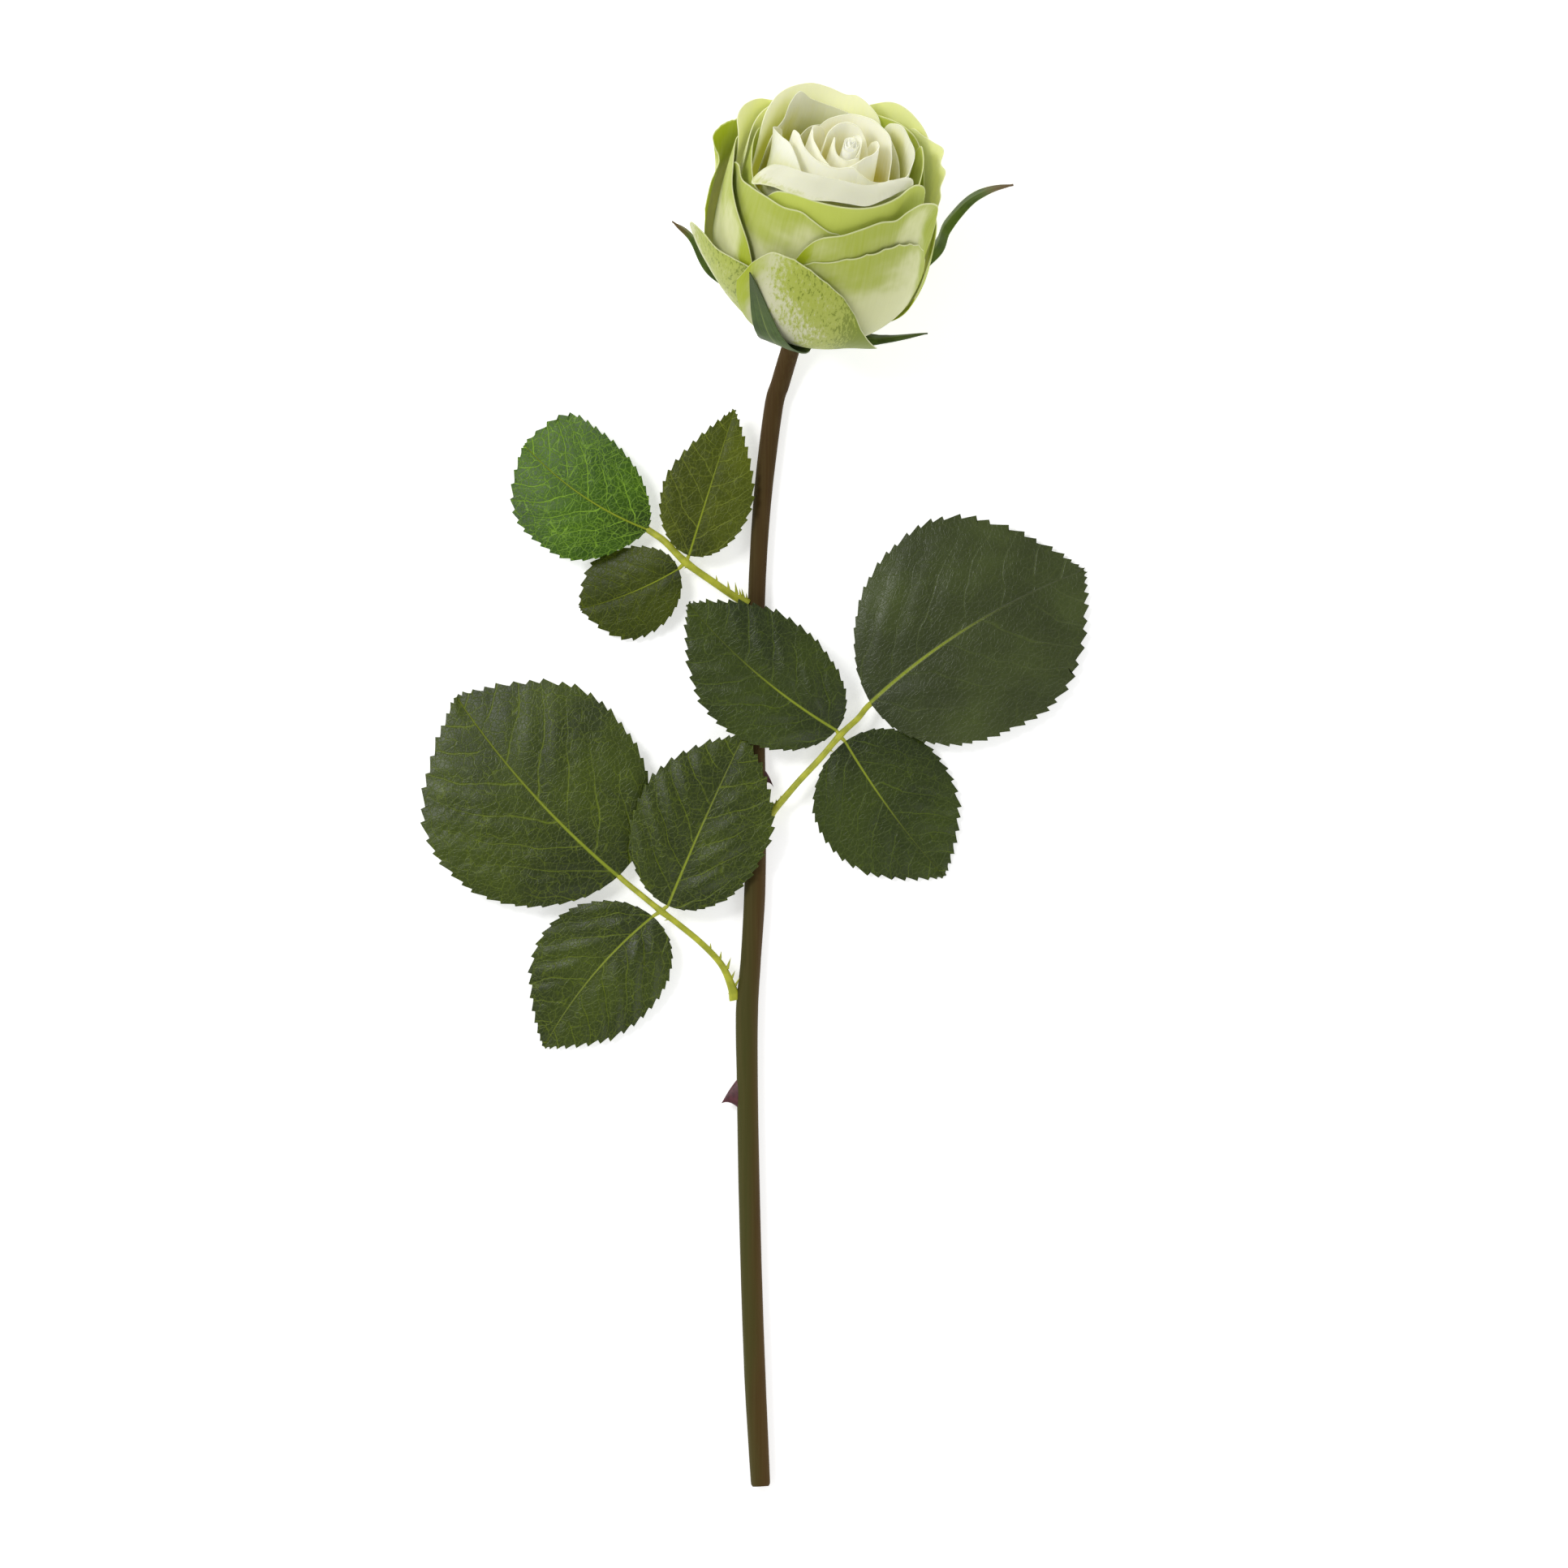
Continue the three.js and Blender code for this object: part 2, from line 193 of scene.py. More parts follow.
def finish(piece, node, material):
    """Gives a finished piece its material, hangs it on the root body in place of its CAD part,
    and prints how far it goes past that part's box.
    """
    piece.data.materials.clear()
    piece.data.materials.append(material)
    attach(piece, "root")
    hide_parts(node)
    low, high = np.array(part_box(node))
    here = np.array([v.co for v in piece.data.vertices])
    over = max(*(low - here.min(0)), *(here.max(0) - high)) / MM
    print(f"{piece.name}: {len(piece.data.polygons)} faces, {over:.1f} mm past its CAD box")


print("a quarter of the way along a bend:", route([(0, 0, 0), (9, 4, 0), (18, 0, 0)])([0.25])[0].round(2))

# %% [markdown]
# ## Shader maths
#
# A material here is a sum of masks. Writing each mask as an expression is easier to read than
# a picture of wires, so a small class wraps a socket and turns +, - and * into Math nodes.

# %% A wire that does maths, and a paint that makes nodes
class Wire:
    def __init__(self, paint, socket):
        self.paint = paint
        self.socket = socket

    def maths(self, operation, first, second):
        return self.paint.node("ShaderNodeMath", {"operation": operation}, {0: first, 1: second})

    def __add__(self, other):
        return self.maths("ADD", self, other)

    def __radd__(self, other):
        return self.maths("ADD", other, self)

    def __sub__(self, other):
        return self.maths("SUBTRACT", self, other)

    def __rsub__(self, other):
        return self.maths("SUBTRACT", other, self)

    def __mul__(self, other):
        return self.maths("MULTIPLY", self, other)

    def __rmul__(self, other):
        return self.maths("MULTIPLY", other, self)

    def __abs__(self):
        return self.maths("ABSOLUTE", self, 0)

    def above(self, low, high):
        """0 below low, 1 above high, and smooth between."""
        settings = {"interpolation_type": "SMOOTHSTEP", "clamp": True}
        return self.paint.node("ShaderNodeMapRange", settings, {"Value": self, "From Min": low,
                               "From Max": high, "To Min": 0, "To Max": 1})

    def below(self, low, high):
        return 1 - self.above(low, high)


class Paint:
    def __init__(self, name, roughness):
        self.material = bpy.data.materials.new(name)
        self.material.use_nodes = True
        self.tree = self.material.node_tree
        self.shader = self.tree.nodes["Principled BSDF"]
        self.shader.inputs["Roughness"].default_value = roughness

    def node(self, kind, settings, sockets, output=0):
        """Adds a node, sets its settings first, then its sockets by name or number."""
        node = self.tree.nodes.new(kind)
        for key, value in settings.items():
            setattr(node, key, value)
        for key, value in sockets.items():
            self.feed(node.inputs[key], value)
        return Wire(self, node.outputs[output])

    def feed(self, socket, value):
        if isinstance(value, Wire):
            self.tree.links.new(value.socket, socket)
        else:
            socket.default_value = value

    def mix(self, factor, first, second):
        """Blends two colours."""
        return self.node("ShaderNodeMix", {"data_type": "RGBA"}, {0: factor, 6: first, 7: second}, 2)

    def place(self):
        """The piece's own coordinates, in metres."""
        return self.node("ShaderNodeTexCoord", {}, {}, "Object")

    def split(self, vector):
        """The first two parts of a vector."""
        first = self.node("ShaderNodeSeparateXYZ", {}, {0: vector})
        return first, Wire(self, first.socket.node.outputs[1])

    def across_along(self):
        """The blade's own coordinates, and them split: 0 to 1 across and 0 to 1 along."""
        uv = self.node("ShaderNodeTexCoord", {}, {}, "UV")
        return (uv, *self.split(uv))

    def noise(self, vector, scale, detail=2.0, roughness=0.5):
        return self.node("ShaderNodeTexNoise", {}, {"Vector": vector, "Scale": scale,
                         "Detail": detail, "Roughness": roughness})

    def stretch(self, vector, x, y, z=1):
        return self.node("ShaderNodeMapping", {}, {"Vector": vector, "Scale": (x, y, z)})

    def bump(self, height, distance, strength=1.0):
        bump = self.node("ShaderNodeBump", {}, {"Height": height, "Distance": distance * MM,
                         "Strength": strength})
        self.feed(self.shader.inputs["Normal"], bump)

    def colour(self, value):
        self.feed(self.shader.inputs["Base Color"], value)

    def set(self, sockets):
        """Sets or feeds the shader's own sockets, by name."""
        for key, value in sockets.items():
            self.feed(self.shader.inputs[key], value)


def srgb(red, green, blue):
    """A screen colour, 0 to 255, as the linear colour that sockets take."""
    def linear(c):
        c /= 255
        return c / 12.92 if c <= 0.04045 else ((c + 0.055) / 1.055) ** 2.4
    return (linear(red), linear(green), linear(blue), 1)


# %% [markdown]
# ## Petal skin
#
# The petals are thin and satiny, and go from ivory to lime. The lime runs in from the edges,
# so a petal is palest in the middle of its lower half. Fine veins run from claw to rim, and
# a thin pale line along the rim is a painted highlight. Lime-yellow rising from the claw is
# painted shade deep in the cup, and a weak emission is painted light passing through the
# petals. The guard petals are also mottled with green, as if torn.

# %% Petal material
LIME = srgb(160, 174, 12)
MOTTLE, DARK_MOTTLE = srgb(162, 174, 40), srgb(112, 128, 10)
FRAYED, RIM_HIGHLIGHT = srgb(196, 202, 108), srgb(236, 237, 204)


def petal_paint(name, pale, lime, edges=0.0, top=0.0, foot=0.0, claw_shade_top=0.62,
                mottle=0.0, torn_rim=0.0, painted_glow=0.0):
    """pale and lime are mixed by how far the lime has run in from edges and top, and by painted
    shade that rises from the foot. The emission is painted light passing through the petal.
    """
    paint = Paint(name, 0.6)
    uv, across, along = paint.across_along()
    off_centre = abs(across * 2 - 1)
    fibre = paint.noise(paint.stretch(uv, 70, 3), 1.0, 3)
    cloud = paint.noise(paint.stretch(uv, 2.2, 2.6), 1.5, 3)
    wander = (cloud - 0.5) * 0.75
    edge = (off_centre + wander).above(0.35, 1.0) * edges
    rim = (along + wander).above(0.55, 1.0) * top
    # Painted shade: lime-yellow rising from the claw, as strong as foot says, stands for the yellow-green
    # shade deep in the cup.
    claw = (along + wander * 0.4).below(claw_shade_top - 0.5, claw_shade_top) * foot
    green = edge + rim + claw + (fibre - 0.5) * 0.22
    body = paint.mix(green.above(0.0, 1.0), pale, lime)
    if mottle:
        speck = paint.noise(paint.stretch(uv, 22, 9), 2.4, 8, 0.72)
        patch = paint.noise(paint.stretch(uv, 3, 3), 1.3, 3)
        torn = across * 1.1 + along * 0.55 + (patch - 0.5) * 0.9 + (speck - 0.5) * 1.3
        body = paint.mix(torn.above(0.7, 0.92) * mottle, body, MOTTLE)
        pit = (torn + (speck - 0.5) * 1.5).above(1.12, 1.26)
        body = paint.mix(pit * mottle, body, DARK_MOTTLE)
    if torn_rim:
        speck = paint.noise(paint.stretch(uv, 18, 12), 2.4, 6, 0.7)
        frayed = along + (speck - 0.5) * 0.12 - across * 0.12
        body = paint.mix(frayed.above(0.93, 0.97) * torn_rim, body, FRAYED)
    # Painted highlight: a thin pale line along the very rim, where light catches the edge.
    body = paint.mix(along.above(0.99, 0.998) * 0.5, body, RIM_HIGHLIGHT)
    paint.colour(body)
    crinkle = paint.noise(paint.stretch(uv, 26, 5), 1.0, 4)
    paint.bump(fibre * 0.4 + crinkle * 0.6, 0.5, 0.5)
    # Painted light: a weak emission in the petal's own colour stands for light shining through the thin
    # petals.
    paint.set({"Emission Color": body, "Emission Strength": painted_glow, "Specular IOR Level": 0.35,
               "Subsurface Weight": 0.3, "Subsurface Radius": (1.0, 1.0, 0.5),
               "Subsurface Scale": 1.2 * MM, "Sheen Weight": 0.15})
    return paint.material


# %% Petal colours
WHITE = srgb(248, 248, 232)
PALE = srgb(206, 209, 146)
YELLOW_LIME = srgb(210, 210, 86)
# Emission strengths here are painted light passing through the petals, strongest on the far ones that light
# reaches from behind; foot sets the painted shade at the claw.
PETAL_PAINTS = {
    "guard": petal_paint("guard_petal_skin", srgb(206, 206, 170), LIME, edges=0.7, top=0.4,
                         mottle=0.85),
    "far_guard": petal_paint("far_guard_petal_skin", PALE, LIME, edges=0.9, top=0.9, foot=0.3,
                             painted_glow=0.1),
    "outer": petal_paint("outer_petal_skin", srgb(216, 219, 162), LIME, edges=0.75, top=0.75,
                         foot=0.05),
    "far_outer": petal_paint("far_outer_petal_skin", srgb(236, 240, 176), srgb(178, 190, 54),
                             edges=0.3, foot=1.5, painted_glow=0.07),
    "middle": petal_paint("middle_petal_skin", srgb(188, 200, 84), srgb(158, 174, 16), edges=0.6,
                          top=0.1, foot=1.1, painted_glow=0.05),
    "far_middle": petal_paint("far_middle_petal_skin", srgb(242, 243, 206), srgb(206, 208, 84),
                              edges=0.2, foot=1.3, claw_shade_top=1.02, painted_glow=0.19),
    "inner": petal_paint("inner_petal_skin", srgb(240, 241, 222), YELLOW_LIME, edges=0.1, foot=1.2,
                         claw_shade_top=1.08, painted_glow=0.05),
    "lip": petal_paint("lip_petal_skin", srgb(232, 232, 200), srgb(206, 208, 124), edges=0.5,
                       foot=1.2, torn_rim=0.8),
    "core": petal_paint("core_petal_skin", WHITE, srgb(216, 208, 104), edges=0.05, foot=1.1,
                        claw_shade_top=1.06, painted_glow=0.1),
    "heart": petal_paint("heart_petal_skin", srgb(250, 250, 240), srgb(222, 214, 120), foot=1.3,
                         claw_shade_top=0.99, painted_glow=0.1),
}
print("petal paints:", sorted(PETAL_PAINTS))

# %% [markdown]
# ## The bloom's nested cups
#
# The bloom leans: its axis rises from the table and turns a little to the right. Around that
# axis the petals lie on nested cups, as onion skins do. depth is 0 on the outermost cup and 1
# at the heart, and reach runs from 0 at a petal's claw through 1 at its belly to 2 at the
# bloom's mouth. Each petal keeps to its own cup, so none cuts another.

# %% Bloom frame and cups
BLOOM_BASE = np.array([15.8, 169.0, 19.1])
ELEVATION = rad(40)
TURN = rad(16.5)
AXIS = np.array([math.sin(TURN) * math.cos(ELEVATION), math.cos(TURN) * math.cos(ELEVATION),
                 math.sin(ELEVATION)])
RIGHT = np.array([math.cos(TURN), -math.sin(TURN), 0])
BACK = np.cross(AXIS, RIGHT)

CLAW_RADIUS, CLAW_RADIUS_STEP = 8.3, 6.5
CLAW_HEIGHT, CLAW_HEIGHT_STEP = 1, 16
BELLY_RADIUS, BELLY_RADIUS_STEP = 41.5, 37
BELLY_HEIGHT, BELLY_HEIGHT_STEP = 36, 12
MOUTH_HEIGHT, MOUTH_TUCK, MOUTH_TUCK_STEP, MOUTH_DRIFT = 80, 3, 1.5, 3.5
CLAW_WIDTH = 0.42


def to_world(x, y, z):
    """From the bloom's own axes to the frame's, in millimetres."""
    return BLOOM_BASE + np.outer(x, RIGHT) + np.outer(y, BACK) + np.outer(z, AXIS)


def drift(height, depth=0):
    """How far the mouth of the bloom has moved to its left at this height."""
    return MOUTH_DRIFT * (1 - depth) * (height / MOUTH_HEIGHT) ** 2


def cup(depth, reach):
    """Distance from the axis and height of a cup at this reach."""
    claw_radius = CLAW_RADIUS - CLAW_RADIUS_STEP * depth
    claw_height = CLAW_HEIGHT + CLAW_HEIGHT_STEP * depth
    belly_radius = BELLY_RADIUS - BELLY_RADIUS_STEP * depth
    belly_height = BELLY_HEIGHT + BELLY_HEIGHT_STEP * depth
    lower = np.minimum(reach, 1) * math.pi / 2
    upper = np.maximum(reach - 1, 0)
    radius = claw_radius + (belly_radius - claw_radius) * np.sin(lower)
    radius -= (MOUTH_TUCK - MOUTH_TUCK_STEP * depth) * upper ** 2
    height = claw_height + (belly_height - claw_height) * (1 - np.cos(lower))
    height += (MOUTH_HEIGHT - belly_height) * upper
    return radius, height


print("the bloom's mouth is centred at", to_world(-drift(MOUTH_HEIGHT), 0, MOUTH_HEIGHT)[0].round(1))

# %% [markdown]
# A petal keeps to its cup, but it isn't smooth. The ripple is a sum of a few sine waves with
# seeded random phases, so that it is smooth, never repeats on the next petal, and comes out
# the same each time. The last helper, reach_of, is the cup's height formula turned round.

# %% Ripple and reach
def ripple(u, v, seed):
    """A smooth made-up unevenness between about -1 and 1."""
    draw = random.Random(seed)
    total = 0
    for size in (1, 2, 3, 5):
        turn = draw.uniform(0, 6.3)
        slant = draw.uniform(-2, 2)
        total = total + np.sin(size * math.pi * (u * 0.8 + slant * v * 0.4) + turn) / size ** 0.8
    return total / 2


def reach_of(depth, height):
    """How far up its cup a petal has to reach to get to this height."""
    claw_height = CLAW_HEIGHT + CLAW_HEIGHT_STEP * depth
    belly_height = BELLY_HEIGHT + BELLY_HEIGHT_STEP * depth
    share = np.clip((height - claw_height) / (belly_height - claw_height), 0, 1)
    lower = np.arccos(1 - share) / (math.pi / 2)
    upper = (height - belly_height) / (MOUTH_HEIGHT - belly_height)
    return np.where(height < belly_height, lower, 1 + upper)


def spread_at(reach):
    """The share of its full spread that a petal has here: narrow at the claw."""
    return CLAW_WIDTH + (1 - CLAW_WIDTH) * np.sin(np.minimum(reach, 1) * math.pi / 2)


print("50 mm up, the outer cup is", cup(0, reach_of(0, 50))[0].round(1), "mm from the axis")

# %% [markdown]
# One function makes every petal. It takes the rim, works out how far up the cup each place of
# the rim reaches, and fills in the petal below it. Above curl_from it leans away from its cup,
# and where it has a lip, its last rows roll out and down instead.

# %% Petal shape
PETAL_THICKNESS = 0.3
PETAL_COLUMNS, DEGREES_PER_COLUMN = 20, 1.7
PETAL_ROWS, LIP_ROWS = 42, 56
LIP_FROM = 0.87
CURL_POWER, LIP_POWER = 1.6, 1.4
LIP_BULGE = 0.5


def petal(name, depth, rim, seed, wave=0.4, curl_from=0.8, tuck=0, scallops=(0, 0), lip=None):
    """One petal on its cup, from its claw up to a rim that runs through the given points.

    rim: points of (angle, height, lean), in degrees and mm. wave: size of its unevenness.
    curl_from: where up the petal it starts to lean. tuck: how much smaller than its cup it is.
    scallops: number and depth of bites in the rim.
    lip: how far a rolled lip goes out and down, at even steps across the rim.
    """
    rim = np.array([(*point, 0)[:3] for point in rim], float)
    rim_line = route(rim)
    centre = (rim[0, 0] + rim[-1, 0]) / 2
    span = rim[-1, 0] - rim[0, 0]
    lip_from = LIP_FROM if lip else 1
    lip_line = route([(*point, 0) for point in lip or [(0, 0)] * 2])

    def place(u, v):
        across = (u + 1) / 2
        angle, rim_height, lean = rim_line(across).T
        count, bite = scallops
        rim_height = rim_height - bite * np.abs(np.sin(across * count * math.pi)) ** 0.7
        end = reach_of(depth, rim_height)
        reach = end * np.minimum(v / lip_from, 1)
        radius, height = cup(depth, reach)
        radius -= tuck * np.minimum(reach, 1)
        radius += wave * ripple(u * span / 90, v, seed) * step(reach, 0.5, 1.7)
        radius += lean * np.clip((v - curl_from) / (1 - curl_from), 0, 1) ** CURL_POWER
        if lip:
            out, down, _ = lip_line(across).T
            roll = np.clip((v - lip_from) / (1 - lip_from), 0, 1)
            hump = np.sin(roll * math.pi)
            uneven = 1 + 0.1 * ripple(u * 3, 0.4 * v, seed + 3)
            fold = 0.6 * np.sin(u * 17 + 2 * ripple(u, v, seed + 4)) * hump
            radius += (out * roll + LIP_BULGE * hump) * uneven
            height += (0.6 * hump - down * roll ** LIP_POWER) * uneven + fold
        around = np.radians(centre + (angle - centre) * spread_at(reach) / spread_at(end))
        x = radius * np.cos(around) - drift(height, depth)
        return to_world(x, radius * np.sin(around), height)

    rows = LIP_ROWS if lip else PETAL_ROWS
    return blade(name, PETAL_COLUMNS + int(span / DEGREES_PER_COLUMN), rows, place, PETAL_THICKNESS)


# %% [markdown]
# ## Petals, from the outside in
#
# A petal's rim is what one sees of it, so each is given by its rim: points of angle about the
# axis, height above the bloom's foot and, where it curls, how far it leans out. At 270 degrees
# a petal faces up, and at 90 it lies towards the table. The rest of the petal follows its cup.

# %% Petals' rims
WHORLS = {
    "guard": [
        (0, [(234, 34), (241, 46), (250, 54.5), (262, 56), (271, 54), (281, 49.5), (290, 44), (298, 36),
             (306, 26, 1.5), (318, 16, 4.5)], dict(wave=0.5, curl_from=0.6, scallops=(9, 0.5))),
        (0, [(108, 36), (114, 46), (130, 58), (150, 64), (160, 65.5, 1), (166, 67, 2), (171, 66, 4),
             (175, 62.5, 5), (179, 57, 0.6), (185, 55, 0.6), (190, 51, 1.6), (195, 43, 2)],
         dict(scallops=(17, 0.5), curl_from=0.75, tuck=-0.4, paint="far_guard")),
        (0, [(-16, 30), (-5, 42), (5, 48), (20, 50), (35, 48), (50, 40), (62, 30)],
         dict(tuck=1.7, paint="far_guard")),
        (0.035, [(188, 24, 5), (193, 32, 7), (199, 38.5, 8), (207, 39, 5), (216, 38, 2.6),
                 (227, 39.5, 0.5), (240, 41, -0.3), (253, 37, -0.3), (259, 26)],
         dict(curl_from=0.35, wave=0.2)),
        (0.035, [(66, 36), (71, 45), (80, 50), (92, 51), (110, 50), (126, 44), (134, 34)], dict()),
    ],
    "outer": [
        (0.07, [(256, 38), (262, 48), (268, 54), (288, 59), (303, 62), (316, 63.5), (328, 61.5),
                (338, 57), (347, 48), (354, 36)], dict(scallops=(12, 0.9))),
        (0.07, [(146, 40), (152, 52), (165, 62), (178, 67), (190, 68), (199, 66), (206, 61), (214, 57.5),
                (225, 53), (233, 48), (240, 40)], dict(wave=0.3)),
        (0.07, [(12, 54), (20, 62), (30, 70), (40, 75), (50, 77.5), (60, 78.5), (70, 77), (81, 71.5),
                (92, 64), (100, 54)], dict(paint="far_outer")),
        (0.105, [(256, 40), (261, 52), (266, 60), (273, 65.5), (285, 68.5), (294, 71), (306, 73.7),
                 (316, 73.5, 0.5), (323, 77, 2), (332, 78.5, 3.5), (343, 74.5, 5), (350, 64, 3),
                 (356, 50, 1)], dict(wave=0.5)),
        (0.105, [(72, 54), (80, 62), (95, 68), (110, 71), (125, 72.5), (140, 72), (152, 67), (160, 58),
                 (166, 46)], dict()),
        (0.14, [(189, 44), (191, 56), (195, 65, 2), (201, 67.5, 1), (207, 64.5), (218, 66.7), (233, 69.2),
                (246, 70), (257, 71.8), (265, 70.5), (276, 67.5), (284, 66), (288, 56), (290, 44)], dict()),
        (0.14, [(118, 56), (126, 68), (136, 73), (146, 74.5), (156, 77.5, 1.5), (164, 79, 3),
                (172, 79, 4.5), (179, 77, 4.6), (183, 72, 2.4), (186, 62, 0.6), (187, 48)],
         dict(paint="far_outer")),
        (0.14, [(-24, 40), (-18, 54), (-8, 62, 2), (4, 66, 3.2), (9, 68.5, 2.6), (15, 72.5, 4.4),
                (20, 73.5, 3), (26, 76.5, 5), (33, 76, 3), (42, 74.5, 1.5), (52, 73, 1), (59, 64),
                (64, 50)],
         dict(paint="far_outer")),
    ],
    "middle": [
        (0.18, [(222, 44), (227, 62), (235, 71.5), (244, 75), (254, 76.8), (266, 77.6), (280, 78),
                (294, 78.2), (308, 79), (320, 80.4), (330, 81.8), (338, 81.5, 1), (345, 77, 1.5),
                (348, 64), (349, 46)],
         dict()),
        (0.18, [(104, 52), (110, 64), (122, 71), (136, 73), (150, 74.5), (165, 75), (178, 73), (188, 68),
                (194, 56), (196, 44)], dict(paint="far_outer")),
        (0.235, [(153, 50), (158, 64), (168, 71), (180, 72), (192, 70.5), (204, 66.5), (214, 64.5),
                 (228, 65), (238, 61), (245, 52), (247, 40)], dict()),
        (0.235, [(14, 52), (19, 64), (28, 72), (40, 75.5), (55, 75), (70, 73), (85, 71), (98, 66),
                 (106, 58), (110, 46)], dict(tuck=-0.6)),
        (0.29, [(62, 58), (68, 68), (73, 73, 0.8), (82, 77, 0.9), (91, 79, 1), (99, 78, 1.4), (111, 80, 2),
                (124, 82.5, 2), (134, 83, 2), (149, 83, 2), (162, 81.5, 2), (170, 77, 2), (176, 68, 1),
                (178, 54)], dict(paint="far_middle")),
        (0.29, [(304, 50), (309, 64), (318, 72), (330, 74, 0.5), (345, 74, 1), (355, 74.5, 1),
                (366, 77, 1.2), (377, 78, 1.2), (388, 77.5, 1), (395, 68), (397, 54)], dict()),
    ],
    "inner": [
        (0.36, [(206, 64), (211, 72), (219, 75.5), (232, 79), (252, 82), (273, 84), (294, 83),
                (316, 83), (333, 81.5), (345, 78), (352, 70)],
         dict(paint="lip", lip=[(1, 0.5), (6, 5), (8.5, 6.5), (8.5, 6), (8, 5.5), (7.5, 4.5), (6.5, 3.5),
                                (5, 2.5), (4, 2), (2.5, 1), (0.5, 0.2)])),
        (0.36, [(67, 56), (73, 66), (85, 71.9), (95, 72.5), (112, 74.7), (127, 78.3), (135, 82, 1),
                (140, 82.5, 1.5), (147, 78, 1), (153, 73.2), (162, 70), (172, 66), (180, 56), (183, 44)],
         dict(wave=0.8)),
        (0.425, [(292, 52), (298, 66), (308, 74), (322, 76), (340, 77), (355, 76.5, 1), (360, 78, 1.5),
                 (379, 79, 2.5), (390, 80, 2), (400, 82, 1), (412, 80, 0.5), (420, 76), (427, 64),
                 (430, 50)], dict()),
        (0.425, [(150, 50), (156, 64), (165, 73), (174, 76, 2.5), (187, 79, 1), (199, 81, -0.5),
                 (212, 82.5, -1.5), (226, 81.5, -1), (238, 79), (246, 74), (251, 62), (253, 48)], dict()),
        (0.49, [(4, 50), (12, 62), (22, 68), (32, 72), (42, 74.5), (56, 76.5), (72, 78), (91, 75.5),
                (105, 72), (115, 69.5), (129, 69.5), (138, 66), (146, 58), (150, 46)], dict()),
    ],
    "core": [
        (0.56, [(172, 54), (177, 70), (184, 80, 0.5), (198, 83.5), (211, 84), (229, 82.7), (248, 82.4),
                (268, 83), (285, 84.5), (297, 81.8), (313, 78.2), (330, 76), (345, 74), (356, 70),
                (362, 56)], dict()),
    ],
}

# %% [markdown]
# The innermost petals wind round the heart. Each starts 137.5 degrees on from the one before,
# which is how a plant packs its leaves, and each sits one cup further in. The one before the
# last has a rim of its own: it peaks on the left and is low in front, where it bares the heart.

# %% Core petals
CORE_DEPTH, CORE_DEPTH_STEP = 0.56, 0.073
CORE_START, CORE_TURN = 285, 137.5
CORE_SPREAD, CORE_SPREAD_STEP = 74, 5
CORE_HEIGHTS = (81, 81.5, 82, 82.5, 78.5, 82)
CORE_RIM = [(-1, -26), (-0.86, -9), (-0.5, -1.5), (-0.1, 1), (0.4, 0), (0.82, -6), (1, -24)]
HEART_ROOM = 0.9
PEAKED_PETAL = 5
PEAKED_RIM = [(153, 52), (158, 66), (172, 77), (190, 82, 0.6), (203, 83, 0.8), (216, 81, 0.4), (233, 78.6),
              (255, 77.8), (280, 77.5), (305, 78.5), (328, 77), (343, 68), (351, 54)]
for i, height in enumerate(CORE_HEIGHTS, 1):
    angle = (CORE_START + CORE_TURN * i) % 360
    spread = CORE_SPREAD + CORE_SPREAD_STEP * i
    rim = [(angle + spread * share, height + drop, 0.6 - 0.1 * i) for share, drop in CORE_RIM]
    if i == PEAKED_PETAL:
        rim = PEAKED_RIM
    look = dict(wave=0.9 - 0.13 * i, tuck=-HEART_ROOM if i == len(CORE_HEIGHTS) else 0)
    WHORLS["core"].append((CORE_DEPTH + CORE_DEPTH_STEP * i, rim, look))
print({whorl: len(shapes) for whorl, shapes in WHORLS.items()})

# %% Petals
seed = 0
for whorl, shapes in WHORLS.items():
    for number, (depth, rim, look) in enumerate(shapes, 1):
        seed += 1
        paint = look.pop("paint", whorl)
        piece = petal(f"{whorl}_petal_blade_{number}", depth, rim, seed, **look)
        finish(piece, f"{whorl}_petal_{number}", PETAL_PAINTS[paint])
print(seed, "petals")

# %% [markdown]
# ## The heart
#
# The last petals are rolled so tightly that they read as one scroll. A single blade wound
# about three turns round the axis gives the same spiral. Its rim is crumpled and dips in
# front, so that light falls into the slot.

# %% Heart scroll
SCROLL_TURNS = 3.1
SCROLL_FOOT, SCROLL_TOP = 20, 82.5
SCROLL_CORE, SCROLL_WIDTH = 0.4, 2.6
SCROLL_THICKNESS = 0.22


def heart_scroll():
    def place(u, v):
        wound = (u + 1) / 2
        around = wound * SCROLL_TURNS * 2 * math.pi
        swell = 0.6 + 0.4 * np.sin(np.clip(v * 1.1, 0, 1) * math.pi / 2)
        crumple = 0.2 * np.sin(around * 2.6 + 1) + 0.12 * np.sin(around * 4.3)
        radius = (SCROLL_CORE + SCROLL_WIDTH * wound ** 0.9 + crumple * v ** 8) * swell
        front = (1 - np.sin(around)) / 2
        dip = 1.2 * wound + 2.4 * front * wound + 1.2 * crumple
        height = SCROLL_FOOT + (SCROLL_TOP - SCROLL_FOOT) * v - dip * v ** 6
        return to_world(radius * np.cos(around), radius * np.sin(around), height)

    return blade("heart_scroll", 150, 24, place, SCROLL_THICKNESS)


finish(heart_scroll(), "heart", PETAL_PAINTS["heart"])

# %% [markdown]
# ## Green parts of the bloom
#
# Sepals and receptacle are the same matt green, streaked along their length, with a paler
# vein down the middle. Towards the tip the green turns darker, or dry and brown.

